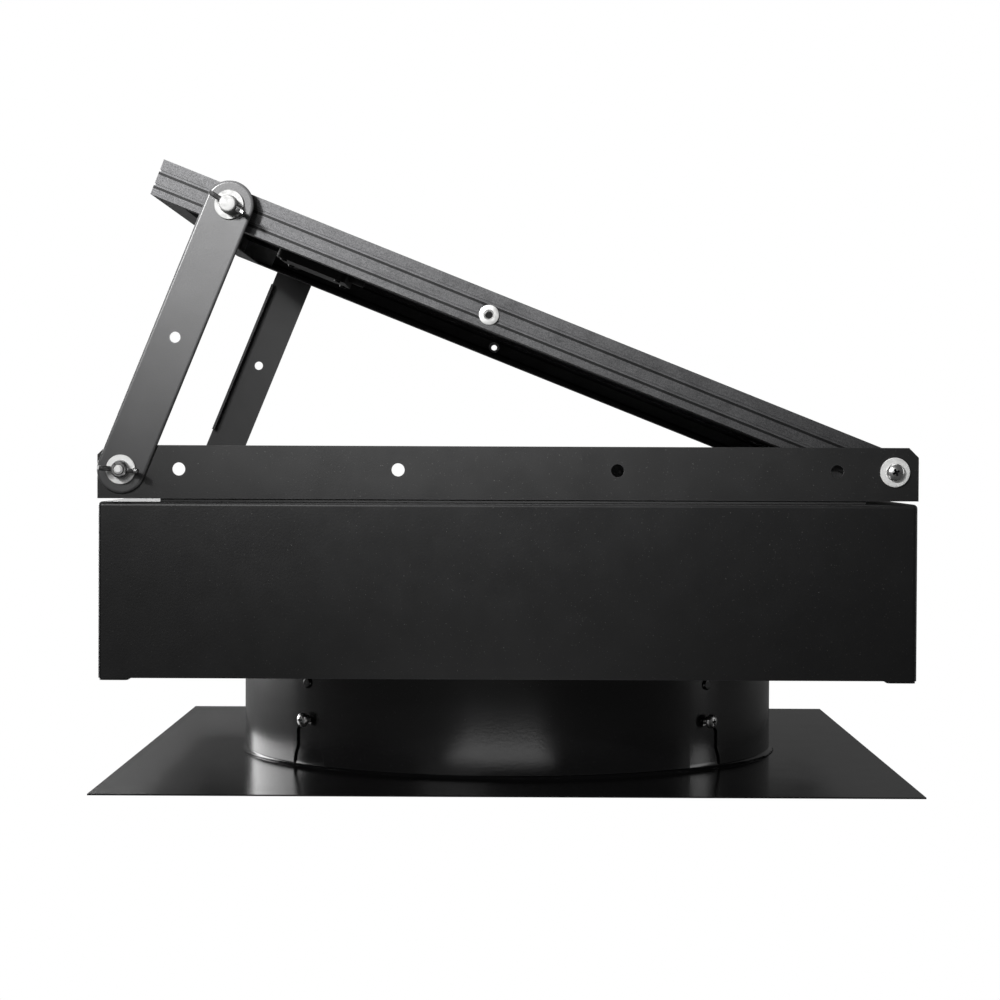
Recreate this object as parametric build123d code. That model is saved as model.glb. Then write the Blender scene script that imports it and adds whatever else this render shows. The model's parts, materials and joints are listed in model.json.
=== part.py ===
from build123d import *

import math
import os

# Roof-mounted solar attic fan: square flashing, lift-off fan head, prop-up solar panel.
#
# Millimetres. +Z is up, +X points to the panel's hinge end, and the origin is the
# centre of the flashing's underside. The two long sides are called near (-Y) and far (+Y).

# ---------------------------------------------------------------- driving dimensions
# Flashing and its drawn collar
FLASHING_SIDE = 560.0
SHEET = 1.0
COLLAR_OUTER_R = 202.0
COLLAR_TOP = 46.0
COLLAR_BEND_R = 5.0

# Neck: the cylinder that slides over the collar
NECK_OUTER_R = 203.5
NECK_BOTTOM = 4.0
NECK_TOP = 150.0
NECK_BEAD_R = 1.6
CORNER_ANGLES = (45, 135, 225, 315)
QUARTER_ANGLES = (0, 90, 180, 270)
NECK_SCREW_Z = 36.5
NECK_SCREW_STANDOFF = 5.5
SLOT_THROAT_W = 6.6
SLOT_WIDE_W = 26.0
SLOT_SHOULDER_Z = 31.0
SLOT_FLARE_Z = 16.0
SLOT_MOUTH_W = 34.0
BRACKET_RIVET_Z = 63.0
HOOD_BRACKET_RIVET_Z = 132.0
RIVET_HOLE_R = 2.05

# Hood
HOOD_SIDE = 548.0
HOOD_BOTTOM = 78.0
HOOD_TOP = 196.2
HOOD_EDGE_R = 2.8
HOOD_CORNER_R = 3.0
HEM_W = 12.0
CORNER_PLATE_W = 19.0
CORNER_PLATE_T = 1.5
GLAND_X = -160.0
GLAND_HOLE_R = 8.0
HOOD_BRACKET_T = 2.0
HOOD_BRACKET_HALF_W = 18.0
HOOD_BRACKET_BOTTOM = 112.0
HOOD_BRACKET_STEP_Z = 140.0
HOOD_BRACKET_STEP = 8.0
BRACKET_RIVET_HALF_GAP = 10.0
HOOD_BRACKET_GAP = 0.4
HOOD_BRACKET_R = NECK_OUTER_R + 17.0

# Side rails on the hood
RAIL_LENGTH = 550.0
RAIL_BOTTOM = 198.2
RAIL_H = 35.8
RAIL_T = 2.0
RAIL_OUTER_Y = 269.5
RAIL_CHAMFER = 6.5
RAIL_HOLE_R = 4.4
RAIL_HOLE_RISE = 0.4
RAIL_HOLE_XS = (-220.5, -73.5, 73.5, 220.5)
LEAD_HOLE_R = 7.0
LEAD_HOLE_X = -98.3
LEAD_HOLE_Z = 213.8
RAIL_FLANGE_W = 25.0
RAIL_FLANGE_XS = (-233.0, 240.0)
RAIL_SCREW_XS = (-190.0, 0.0, 190.0)
RAIL_SCREW_Y = 256.0
GASKET_W = 22.0

# Pivots: hinge at the low end, prop-arm foot at the high end
PIVOT_X = 259.0
PIVOT_Z = 217.6
TILT = 21.66
PANEL_REACH = 479.6

# Prop arms
ARM_T = 2.0
ARM_HALF_W = 16.3
ARM_INNER_Y = 269.8
ARM_FLANGE_INNER_Y = 262.3
ARM_FLANGE_INSET = 28.0
ARM_MID_HOLE_R = 3.7

# Solar panel (drawn flat about its hinge, then tilted)
PANEL_OUTER_Y = 261.0
PANEL_H = 25.0
PANEL_LOW_END = 14.0
PANEL_HIGH_END = PANEL_REACH + 53.4
FRAME_WEB = 2.0
MITRE_REACH = 60.0
LAMINATE_GAP = 0.4
CELL_MARGIN = 15.0
CELL_GAP = 3.0
BACKSHEET_T = 0.8
CELL_T = 0.4
CLEAT_T = 2.5
CLEAT_LEG = 30.0
CLEAT_ZS = (-9.5, 4.2)
FRAME_LIP_W = 8.0
FRAME_LIP_T = 1.5
FRAME_FLANGE_W = 22.0
GLASS_T = 3.2
SHELF_TOP = 6.2
GROOVE_DEPTHS_FROM_TOP = (7.9, 17.7)
GROOVE_W = 1.4
GROOVE_D = 0.8
MID_HOLE_REACH = 291.5
MID_HOLE_DROP = 3.1
JBOX_X = 95.0 - PANEL_HIGH_END
JBOX_SIZE = (56.0, 74.0)
JBOX_BOTTOM = -8.5
JBOX_WALL = 3.0
JBOX_CORNER_R = 5.0
JBOX_LID_T = 2.2
JBOX_GLAND_Z = -1.5
JBOX_GLAND_R = 4.0
JBOX_SCREW_SPOTS = ((22, 31), (22, -31), (-22, 31), (-22, -31))
CELL_COLUMNS = 4
CELL_ROWS = 9

# M6 hardware
M6_R = 3.0
M6_RUNNING_R = 3.05
WASHER_R = 9.9
WASHER_T = 1.5
WASHER_GAP = 0.1
SPACER_R = 6.0
SPACER_GAP = 0.2
RIVNUT_FLANGE_R = 6.8
RIVNUT_FLANGE_T = 1.0
RIVNUT_BODY_R = 4.5
RIVNUT_LENGTH = 13.0
WING_SPAN_R = 15.0
WING_T = 3.2
WING_BOSS_R = 5.7
WING_BOSS_H = 8.0
WING_BOLT_TURN = 31.5
WING_NUT_TURN = 5.0

# M5 and smaller fasteners
M5_R = 2.5
M5_HEAD_R = 5.2
M5_HEAD_H = 3.6
NECK_SCREW_GRIP = 12.0
COLLAR_HOLE_R = 3.5
COLLAR_NUT_R = 3.45
COLLAR_NUT_LENGTH = 12.0
COLLAR_NUT_FLANGE_T = 0.8
RAIL_SCREW_HOLE_R = 2.6
RAIL_SCREW_HEAD_R = 4.8
RAIL_SCREW_HEAD_H = 3.0
RAIL_SCREW_LENGTH = 12.0
RAIL_NUT_FLATS = 8.0
RAIL_NUT_H = 4.0
RIVET_R = 2.0
WASHER_BORE_R = 3.3
STUD_END_Y = 283.5
HINGE_HEAD_R = 6.0
HINGE_HEAD_H = 4.4
HINGE_HEAD_TURN = 25.0
HINGE_BUSH_R = 8.5
WING_BOLT_BOSS_H = 9.5

# Air path: venturi, outlet screen and inlet guard
VENTURI_BOTTOM = 100.0
VENTURI_SEAT_TOP = 126.0
VENTURI_LIP_TOP = 146.0
VENTURI_FLARE = 9.0
SCREEN_GAP = 0.2
SCREEN_SLOTS = 48
SCREEN_SLOT_W = 8.0
SCREEN_MARGIN = 4.0
SCREEN_BAR = 3.0
GUARD_RING_RADII = range(50, 200, 20)
GUARD_RING_HALF_W = 1.1
GUARD_SPOKE_W = 3.0
GUARD_SPOKE_MID_R = 120.0
GUARD_T = 2.0
GUARD_TAB_HALF_W = 8.0
GUARD_TAB_H = 9.0

# Motor's bracket, stator and rotor
MOTOR_PLATE_R = 52.0
MOTOR_PLATE_T = 2.0
MOTOR_PLATE_BORE_R = 16.0
MOTOR_LEG_HALF_W = 11.0
MOTOR_RIB_H = 8.0
MOTOR_SCREW_AT_R = 34.0
MOTOR_BORE_R = 40.0
MOTOR_CAP_T = 4.0
MOTOR_FLOOR_T = 5.0
MOTOR_FINS = 24
BEARING_R = 13.0
BEARING_H = 8.0
BEARING_BOSS_R = 17.0
SHAFT_HOLE_R = 8.0
STATOR_TEETH = 12
STATOR_R = 39.9
STATOR_YOKE_R = 35.0
STATOR_H = 14.0
STATOR_RISE = 15.0
MAGNET_R = 25.5
MAGNET_POLES = 8

# Fan and motor
BLADE_COUNT = 5
BLADE_TIP_R = 178.0
BLADE_ROOT_R = 44.0
HUB_R = 50.0
HUB_WALL = 3.5
HUB_BELOW = 12.0
HUB_ABOVE = 14.0
BLADE_CHORD_ANGLE = 33.0
BLADE_PITCH = 24.0
BLADE_CAMBER_R = 170.0
BLADE_T = 1.5
FAN_Z = 128.0
THROAT_R = 184.0
MOTOR_BOTTOM = 66.0
MOTOR_H = 44.0
MOTOR_R = 45.0
SHAFT_R = 5.0
SHAFT_RUNNING_R = 5.05
GUARD_Z = 52.0

# ---------------------------------------------------------------- derived places
NECK_INNER_R = NECK_OUTER_R - SHEET
COLLAR_INNER_R = COLLAR_OUTER_R - SHEET
RAIL_TOP = RAIL_BOTTOM + RAIL_H
RAIL_INNER_Y = RAIL_OUTER_Y - RAIL_T
ARM_OUTER_Y = ARM_INNER_Y + ARM_T
TOP_PIVOT_X = PIVOT_X - PANEL_REACH * math.cos(math.radians(TILT))
TOP_PIVOT_Z = PIVOT_Z + PANEL_REACH * math.sin(math.radians(TILT))
ARM_LENGTH = math.hypot(TOP_PIVOT_X + PIVOT_X, TOP_PIVOT_Z - PIVOT_Z)
ARM_ANGLE = math.degrees(math.atan2(TOP_PIVOT_Z - PIVOT_Z, TOP_PIVOT_X + PIVOT_X))
RIVNUT_FACE_Y = PANEL_OUTER_Y + RIVNUT_FLANGE_T
PANEL_AT = Pos(PIVOT_X, 0, PIVOT_Z) * Rot(0, TILT, 0)
ARM_AT = Pos(-PIVOT_X, 0, PIVOT_Z) * Rot(0, 90 - ARM_ANGLE, 0)
SIDES = {"near": -1, "far": 1}


# ---------------------------------------------------------------- helpers
def block(x0, x1, y0, y1, z0, z1):
    """A box between two corners, given in any order."""
    centre = ((x0 + x1) / 2, (y0 + y1) / 2, (z0 + z1) / 2)
    return Pos(*centre) * Box(abs(x1 - x0), abs(y1 - y0), abs(z1 - z0))


def z_rod(x, y, radius, z0, z1):
    """A round bar along Z."""
    return Pos(x, y, (z0 + z1) / 2) * Cylinder(radius, abs(z1 - z0))


def y_rod(x, z, radius, y0, y1):
    """A round bar along Y."""
    return Pos(x, (y0 + y1) / 2, z) * Rot(90, 0, 0) * Cylinder(radius, abs(y1 - y0))


def y_ring(x, z, outer_r, inner_r, y0, y1):
    """A round washer or sleeve along Y."""
    margin = 1.0 if y1 > y0 else -1.0
    return y_rod(x, z, outer_r, y0, y1) - y_rod(x, z, inner_r, y0 - margin, y1 + margin)


def z_tube(outer_r, inner_r, z0, z1):
    """A round tube on the vertical axis."""
    return z_rod(0, 0, outer_r, z0, z1) - z_rod(0, 0, inner_r, z0 - 1, z1 + 1)


def revolved(points):
    """A ring whose half section is a polygon of (radius, height) points."""
    return revolve(make_face(Plane.XZ * Polyline(*points, close=True)), Axis.Z)


def outward(side, x, y, z):
    """The place of hardware drawn along +Z, turned so that +Z leaves the given side."""
    return Pos(x, side * y, z) * Rot(-90 * side, 0, 0)


def at_corners(shape, radius, height, angles=CORNER_ANGLES):
    """Copies of a shape drawn along +Z, turned to point outward around the neck."""
    return [
        Rot(0, 0, a) * Pos(radius, 0, height) * Rot(0, 90, 0) * shape for a in angles
    ]


def pan_screw(shank_r, shank_len, head_r, head_h):
    """A cross-recess pan head screw: head above Z = 0, shank below."""
    head = Pos(0, 0, head_h / 2) * Cylinder(head_r, head_h)
    head = fillet(head.edges().group_by(Axis.Z)[-1], head_h * 0.6)
    bar = Box(head_r * 1.15, head_r * 0.3, head_h * 1.2)
    recess = Pos(0, 0, head_h) * (bar + Rot(0, 0, 90) * bar)
    shank = Pos(0, 0, -shank_len / 2) * Cylinder(shank_r, shank_len)
    return head + shank - recess


def hex_nut(across_flats, height, bore_r):
    """A hexagon nut standing on Z = 0."""
    outline = RegularPolygon(across_flats / 2, 6, major_radius=False)
    return extrude(outline, height) - Cylinder(bore_r, 3 * height)


def dome_rivet(head_r, head_h, shank_r, shank_len):
    """A blind rivet: dome above Z = 0, shank below."""
    dome = Pos(0, 0, head_h / 2) * Cylinder(head_r, head_h)
    dome = fillet(dome.edges().group_by(Axis.Z)[-1], head_h * 0.8)
    return dome + Pos(0, 0, -shank_len / 2) * Cylinder(shank_r, shank_len)


def wings():
    """Two upswept wings across the X axis, standing on Z = 0."""
    outline = Polyline(
        (3.5, 0.8), (9.0, 2.4), (WING_SPAN_R, 7.0), (WING_SPAN_R - 0.6, 12.0),
        (WING_SPAN_R - 4.0, 12.4), (8.0, 7.6), (3.5, 6.8), close=True,
    )
    face = fillet(make_face(Plane.XZ * outline).vertices(), 0.7)
    wing = extrude(face, WING_T / 2, both=True)
    return wing + Rot(0, 0, 180) * wing


def save(name, shape):
    """Writes one named sub-part; a list becomes a group of separate solids."""
    if isinstance(shape, (list, tuple)):
        solids = [s for item in shape for s in item.solids()]
        shape = Compound(children=solids) if len(solids) > 1 else solids[0]
    export_step(shape, f"parts/{name}.step")


# ---------------------------------------------------------------- flashing
def flashing_plate():
    """Square sheet with a drawn collar that has four screw holes."""
    half = FLASHING_SIDE / 2
    sheet = block(-half, half, -half, half, 0, SHEET)
    sheet -= z_rod(0, 0, COLLAR_OUTER_R + COLLAR_BEND_R, -1, SHEET + 1)
    foot = COLLAR_OUTER_R + COLLAR_BEND_R
    bend = math.sin(math.radians(45))
    section = Polyline((foot, SHEET), (foot, 0)) + ThreePointArc(
        (foot, 0),
        (foot - (COLLAR_BEND_R + SHEET) * bend, (COLLAR_BEND_R + SHEET) * (1 - bend)),
        (COLLAR_INNER_R, COLLAR_BEND_R + SHEET),
    )
    section += Polyline(
        (COLLAR_INNER_R, COLLAR_BEND_R + SHEET), (COLLAR_INNER_R, COLLAR_TOP),
        (COLLAR_OUTER_R, COLLAR_TOP), (COLLAR_OUTER_R, COLLAR_BEND_R + SHEET),
    )
    section += ThreePointArc(
        (COLLAR_OUTER_R, COLLAR_BEND_R + SHEET),
        (foot - COLLAR_BEND_R * bend, SHEET + COLLAR_BEND_R * (1 - bend)),
        (foot, SHEET),
    )
    plate = sheet + revolve(make_face(Plane.XZ * section), Axis.Z)
    for hole in at_corners(Cylinder(COLLAR_HOLE_R, 12), COLLAR_OUTER_R, NECK_SCREW_Z):
        plate -= hole
    return plate


def collar_nuts():
    """M5 rivet nuts set in the collar for the neck screws."""
    body = Pos(0, 0, -COLLAR_NUT_LENGTH / 2) * Cylinder(COLLAR_NUT_R, COLLAR_NUT_LENGTH)
    flange = Pos(0, 0, -SHEET - 0.5) * Cylinder(M5_HEAD_R, COLLAR_NUT_FLANGE_T)
    nut = body + flange - Cylinder(M5_R, 40)
    return at_corners(nut, COLLAR_OUTER_R - 0.15, NECK_SCREW_Z)


def neck_screws():
    """M5 screws, backed off their seats so that the neck can drop over them."""
    reach = NECK_OUTER_R + NECK_SCREW_STANDOFF
    shank = reach - COLLAR_OUTER_R + NECK_SCREW_GRIP
    return at_corners(pan_screw(M5_R, shank, M5_HEAD_R, M5_HEAD_H), reach, NECK_SCREW_Z)


# ---------------------------------------------------------------- neck and air path
def neck_housing():
    """Cylinder with a rolled top and four funnel slots that drop over the screws."""
    tube = z_tube(NECK_OUTER_R, NECK_INNER_R, NECK_BOTTOM, NECK_TOP)
    tube += Pos(0, 0, NECK_TOP - NECK_BEAD_R) * Torus(NECK_OUTER_R + NECK_BEAD_R - SHEET, NECK_BEAD_R)
    throat, wide, mouth = SLOT_THROAT_W / 2, SLOT_WIDE_W / 2, SLOT_MOUTH_W / 2
    half_outline = (
        (throat, NECK_SCREW_Z), (throat, SLOT_SHOULDER_Z + 2), (wide - 2, SLOT_SHOULDER_Z),
        (wide, SLOT_SHOULDER_Z - 3), (wide, SLOT_FLARE_Z), (wide + 3, SLOT_FLARE_Z - 6),
        (mouth, NECK_BOTTOM - 1),
    )
    outline = list(half_outline) + [(-x, z) for x, z in reversed(half_outline)]
    slot = make_face(Plane.XZ * Polyline(*outline, close=True))
    cutter = extrude(slot, 20, both=True) + Pos(0, 0, NECK_SCREW_Z) * Rot(90, 0, 0) * Cylinder(throat, 40)
    for angle in CORNER_ANGLES:
        tube -= Rot(0, 0, angle - 90) * Pos(0, NECK_INNER_R, 0) * cutter
    holes = at_corners(Cylinder(RIVET_HOLE_R, 20), NECK_OUTER_R, BRACKET_RIVET_Z)
    holes += at_corners(Cylinder(RIVET_HOLE_R, 20), NECK_OUTER_R, HOOD_BRACKET_RIVET_Z, QUARTER_ANGLES)
    for hole in holes:
        tube -= hole
    return tube


def venturi_ring():
    """Spun ring that narrows the neck to the fan's throat."""
    wall, t, low = NECK_INNER_R - 0.1, SHEET, VENTURI_BOTTOM
    return revolved([
        (wall, low), (wall, VENTURI_SEAT_TOP), (wall - t, VENTURI_SEAT_TOP), (wall - t, low + 3 + t),
        (THROAT_R + VENTURI_FLARE, low + 3 + t), (THROAT_R + t, low + 10), (THROAT_R + t, VENTURI_LIP_TOP),
        (THROAT_R, VENTURI_LIP_TOP), (THROAT_R, low + 9.5), (THROAT_R + VENTURI_FLARE - 0.5, low + 3),
        (wall - t, low + 3), (wall - t, low),
    ])


def outlet_screen():
    """Slotted ring that keeps birds out between the neck and the hood."""
    low, high = NECK_TOP + SCREEN_GAP, HOOD_TOP - SHEET - SCREEN_GAP
    ring = z_tube(NECK_INNER_R, NECK_INNER_R - SHEET, low, high)
    slot_h = (high - low - 2 * SCREEN_MARGIN - SCREEN_BAR) / 2
    cutter = Box(30, SCREEN_SLOT_W, slot_h)
    for row in range(2):
        z = low + SCREEN_MARGIN + slot_h / 2 + row * (slot_h + SCREEN_BAR)
        for k in range(SCREEN_SLOTS):
            angle = (k + 0.5) * 360 / SCREEN_SLOTS
            ring -= Rot(0, 0, angle) * Pos(NECK_INNER_R, 0, z) * cutter
    return ring


def inlet_guard():
    """Finger guard below the motor: flat rings, spokes and four fixing tabs."""
    rim = NECK_INNER_R - 4
    rings = [Circle(r + GUARD_RING_HALF_W) - Circle(r - GUARD_RING_HALF_W) for r in GUARD_RING_RADII]
    guard = sum(rings[1:], rings[0]) + (Circle(rim) - Circle(rim - 3))
    spoke = Rectangle(2 * (rim - 1.5 - GUARD_SPOKE_MID_R), GUARD_SPOKE_W)
    for angle in CORNER_ANGLES + QUARTER_ANGLES:
        guard += Rot(0, 0, angle) * Pos(GUARD_SPOKE_MID_R, 0) * spoke
    disc = extrude(guard, GUARD_T)
    half = GUARD_TAB_HALF_W
    tab = block(rim - 3, NECK_INNER_R - 0.2, -half, half, 0, GUARD_T)
    tab += block(NECK_INNER_R - 2.2, NECK_INNER_R - 0.8, -half, half, 0, GUARD_TAB_H)
    for angle in QUARTER_ANGLES:
        disc += Rot(0, 0, angle) * tab
    return Pos(0, 0, GUARD_Z) * disc


# ---------------------------------------------------------------- motor and fan
def motor_bracket():
    """Four-legged pressed bracket that carries the motor, legs at the neck's corners."""
    z, half = MOTOR_BOTTOM - MOTOR_PLATE_T, MOTOR_LEG_HALF_W
    bracket = z_rod(0, 0, MOTOR_PLATE_R, z, MOTOR_BOTTOM)
    reach = NECK_INNER_R - 0.2
    end = reach - 0.8
    for angle in CORNER_ANGLES:
        leg = block(30, end, -half, half, z, MOTOR_BOTTOM)
        leg += block(end - MOTOR_PLATE_T, end, -half, half, BRACKET_RIVET_Z - 8, MOTOR_BOTTOM + 6)
        leg += block(40, reach - 20, -1, 1, z - MOTOR_RIB_H, z)
        bracket += Rot(0, 0, angle) * leg
        hole = Pos(reach, 0, BRACKET_RIVET_Z) * Rot(0, 90, 0) * Cylinder(RIVET_HOLE_R, 20)
        bracket -= Rot(0, 0, angle) * hole
    bracket -= z_rod(0, 0, MOTOR_PLATE_BORE_R, z - 10, MOTOR_BOTTOM + 1)
    for angle in QUARTER_ANGLES:
        bracket -= Rot(0, 0, angle) * z_rod(MOTOR_SCREW_AT_R, 0, 2.1, z - 1, MOTOR_BOTTOM + 1)
    return bracket


def bracket_rivets():
    """Blind rivets through the neck wall, into the motor bracket and the hood brackets."""
    rivet = dome_rivet(4.0, 1.6, RIVET_R, 6.0)
    bracket_face = NECK_OUTER_R + HOOD_BRACKET_GAP + HOOD_BRACKET_T
    rivets = at_corners(rivet, NECK_OUTER_R, BRACKET_RIVET_Z)
    return rivets + at_corners(rivet, bracket_face, HOOD_BRACKET_RIVET_Z, QUARTER_ANGLES)


def motor_can():
    """Finned cup that holds the stator and the lower bearing."""
    z0, wall_top = MOTOR_BOTTOM, MOTOR_BOTTOM + MOTOR_H - MOTOR_CAP_T
    floor = z0 + MOTOR_FLOOR_T
    can = z_rod(0, 0, MOTOR_R, z0, wall_top)
    can -= z_rod(0, 0, MOTOR_BORE_R, floor, wall_top + 1)
    can += z_tube(BEARING_BOSS_R, BEARING_R, floor, floor + 7)
    can -= z_rod(0, 0, BEARING_R, floor - 1, floor + 8)
    can -= z_rod(0, 0, SHAFT_HOLE_R, z0 - 1, floor + 5)
    for k in range(MOTOR_FINS):
        fin = block(MOTOR_R - 0.5, MOTOR_R + 3, -1, 1, z0 + 6, wall_top - 4)
        can += Rot(0, 0, k * 360 / MOTOR_FINS) * fin
    for angle in QUARTER_ANGLES:
        can -= Rot(0, 0, angle) * z_rod(MOTOR_SCREW_AT_R, 0, 1.6, z0 - 1, z0 + 4)
    return can


def motor_cap():
    """Upper end bell with the upper bearing's seat."""
    top = MOTOR_BOTTOM + MOTOR_H
    cap = z_rod(0, 0, MOTOR_R, top - MOTOR_CAP_T, top)
    cap += z_rod(0, 0, BEARING_BOSS_R + 1, top, top + MOTOR_CAP_T)
    cap -= z_rod(0, 0, BEARING_R, top - MOTOR_CAP_T - 1, top + 2)
    cap -= z_rod(0, 0, SHAFT_HOLE_R, top - MOTOR_CAP_T - 1, top + MOTOR_CAP_T + 1)
    return cap


def motor_bearings():
    """Two ball bearings, each as its ring."""
    seats = (MOTOR_BOTTOM + 4, MOTOR_BOTTOM + MOTOR_H - 6)
    return [z_tube(BEARING_R - 0.02, SHAFT_RUNNING_R, z, z + BEARING_H) for z in seats]


def stator_core():
    """Laminated ring with twelve inward teeth."""
    core = Circle(STATOR_R) - Circle(STATOR_YOKE_R)
    for k in range(STATOR_TEETH):
        tooth = Pos(31, 0) * Rectangle(9, 4) + Pos(27.6, 0) * Rectangle(2, 9)
        core += Rot(0, 0, k * 360 / STATOR_TEETH) * tooth
    return Pos(0, 0, MOTOR_BOTTOM + STATOR_RISE) * extrude(core, STATOR_H)


def stator_coils():
    """Twelve windings, one round each tooth."""
    coil = Box(5.2, 7.6, STATOR_H + 3.5) - Box(7, 4.2, STATOR_H + 0.2)
    middle = MOTOR_BOTTOM + STATOR_RISE + STATOR_H / 2
    return [
        Rot(0, 0, k * 360 / STATOR_TEETH) * Pos(31.9, 0, middle) * coil for k in range(STATOR_TEETH)
    ]


def motor_screws():
    """M4 screws from below, through the bracket into the can's floor."""
    screw = pan_screw(1.58, 5.5, 3.8, 2.6)
    return [
        Rot(0, 0, a) * Pos(MOTOR_SCREW_AT_R, 0, MOTOR_BOTTOM - MOTOR_PLATE_T) * Rot(180, 0, 0) * screw
        for a in QUARTER_ANGLES
    ]


def motor_shaft():
    """Shaft with a shoulder under the fan hub."""
    top = FAN_Z + 22
    return z_rod(0, 0, SHAFT_R, MOTOR_BOTTOM + 2, top) - z_rod(0, 0, 1.2, top - 6, top + 1)


def rotor_magnets():
    """Magnet drum pressed on the shaft between the bearings."""
    z0, z1 = MOTOR_BOTTOM + 14, MOTOR_BOTTOM + 30
    drum = z_tube(MAGNET_R, SHAFT_R, z0, z1)
    for k in range(MAGNET_POLES):
        groove = block(MAGNET_R - 0.9, MAGNET_R + 4, -0.6, 0.6, z0 - 1, z1 + 1)
        drum -= Rot(0, 0, k * 360 / MAGNET_POLES) * groove
    return drum


def fan_hub():
    """Moulded cup that carries the blades and seats on the shaft."""
    low, high = FAN_Z - HUB_BELOW, FAN_Z + HUB_ABOVE
    hub = z_rod(0, 0, HUB_R, low, high)
    hub = fillet(hub.edges().group_by(Axis.Z)[-1], 6)
    hub -= z_rod(0, 0, HUB_R - HUB_WALL, low - 1, high - HUB_WALL - 0.5)
    hub += z_rod(0, 0, 11, low + 2, high - 3)
    for k in range(BLADE_COUNT):
        rib = block(9, HUB_R - 2.5, -1.2, 1.2, low + 8, high - 3)
        hub += Rot(0, 0, (k + 0.5) * 360 / BLADE_COUNT) * rib
    return hub - z_rod(0, 0, SHAFT_R, low - 1, high + 1)


def fan_blades():
    """Cambered blades, each let into the hub's wall."""
    spread, start = BLADE_CHORD_ANGLE, 90 - BLADE_CHORD_ANGLE / 2
    outer = CenterArc((0, 0), BLADE_CAMBER_R + BLADE_T / 2, start, spread)
    inner = CenterArc((0, 0), BLADE_CAMBER_R - BLADE_T / 2, start, spread)
    ends = [Line(outer @ 0, inner @ 0), Line(outer @ 1, inner @ 1)]
    strip = make_face([outer, inner, *ends])
    lift = (BLADE_CAMBER_R + BLADE_CAMBER_R * math.cos(math.radians(spread / 2))) / 2
    strip = Rot(0, 0, BLADE_PITCH) * Pos(0, -lift) * strip
    slab = extrude(Plane.YZ * strip, BLADE_TIP_R + 4)
    planform = Polyline(
        (BLADE_ROOT_R, -20), (70, -30), (140, -50), (BLADE_TIP_R + 3, -42),
        (BLADE_TIP_R + 3, 46), (140, 44), (70, 30), (BLADE_ROOT_R, 20), close=True,
    )
    outline = fillet(make_face(planform).vertices(), 4)
    outline = outline & (Circle(BLADE_TIP_R) - Circle(HUB_R - 1))
    blade = slab & Pos(0, 0, -60) * extrude(outline, 120)
    return [Rot(0, 0, k * 360 / BLADE_COUNT) * Pos(0, 0, FAN_Z) * blade for k in range(BLADE_COUNT)]


def hub_nut():
    """Flanged lock nut that holds the fan on its shaft."""
    top = FAN_Z + HUB_ABOVE
    nut = hex_nut(14, 6, SHAFT_R) + z_tube(10.5, SHAFT_R, 0, 1.2)
    return Pos(0, 0, top) * nut


# ---------------------------------------------------------------- hood
def hood_shell():
    """Folded square cap, open below, with an inward hem."""
    half = HOOD_SIDE / 2
    outer = block(-half, half, -half, half, HOOD_BOTTOM, HOOD_TOP)
    outer = fillet(outer.edges().filter_by(Axis.Z), HOOD_CORNER_R)
    outer = fillet(outer.edges().group_by(Axis.Z)[-1], HOOD_EDGE_R)
    inner_half = half - SHEET
    inner = block(-inner_half, inner_half, -inner_half, inner_half, HOOD_BOTTOM + SHEET, HOOD_TOP - SHEET)
    inner = fillet(inner.edges().filter_by(Axis.Z), HOOD_CORNER_R - SHEET)
    inner = fillet(inner.edges().group_by(Axis.Z)[-1], HOOD_EDGE_R - SHEET)
    mouth = half - HEM_W
    shell = outer - inner - block(-mouth, mouth, -mouth, mouth, HOOD_BOTTOM - 1, HOOD_BOTTOM + 2)
    for x, y in rail_screw_places():
        shell -= z_rod(x, y, RAIL_SCREW_HOLE_R, HOOD_TOP - 3, HOOD_TOP + 1)
    for x, y in hood_rivet_places():
        shell -= z_rod(x, y, RIVET_HOLE_R, HOOD_TOP - 3, HOOD_TOP + 1)
    return shell - z_rod(GLAND_X, 0, GLAND_HOLE_R, HOOD_TOP - 3, HOOD_TOP + 1)


def rail_screw_places():
    """Where the rails are screwed through the hood's top."""
    return [(x, side * RAIL_SCREW_Y) for side in (-1, 1) for x in RAIL_SCREW_XS]


def hood_rivet_places():
    """Where the four support brackets are riveted under the hood's top, two each."""
    places = []
    for angle in QUARTER_ANGLES:
        c, s = math.cos(math.radians(angle)), math.sin(math.radians(angle))
        for t in (-BRACKET_RIVET_HALF_GAP, BRACKET_RIVET_HALF_GAP):
            places.append((HOOD_BRACKET_R * c - t * s, HOOD_BRACKET_R * s + t * c))
    return places


def hood_corner_plates():
    """Small plates spot-welded under the hem at its corners."""
    edge = HOOD_SIDE / 2 - 0.8
    inner = edge - CORNER_PLATE_W
    z0, z1 = HOOD_BOTTOM - CORNER_PLATE_T, HOOD_BOTTOM
    plates = []
    for sx in (-1, 1):
        for sy in (-1, 1):
            plate = block(sx * inner, sx * edge, sy * inner, sy * edge, z0, z1)
            plates.append(fillet(plate.edges().filter_by(Axis.Z), 2.5))
    return plates


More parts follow.
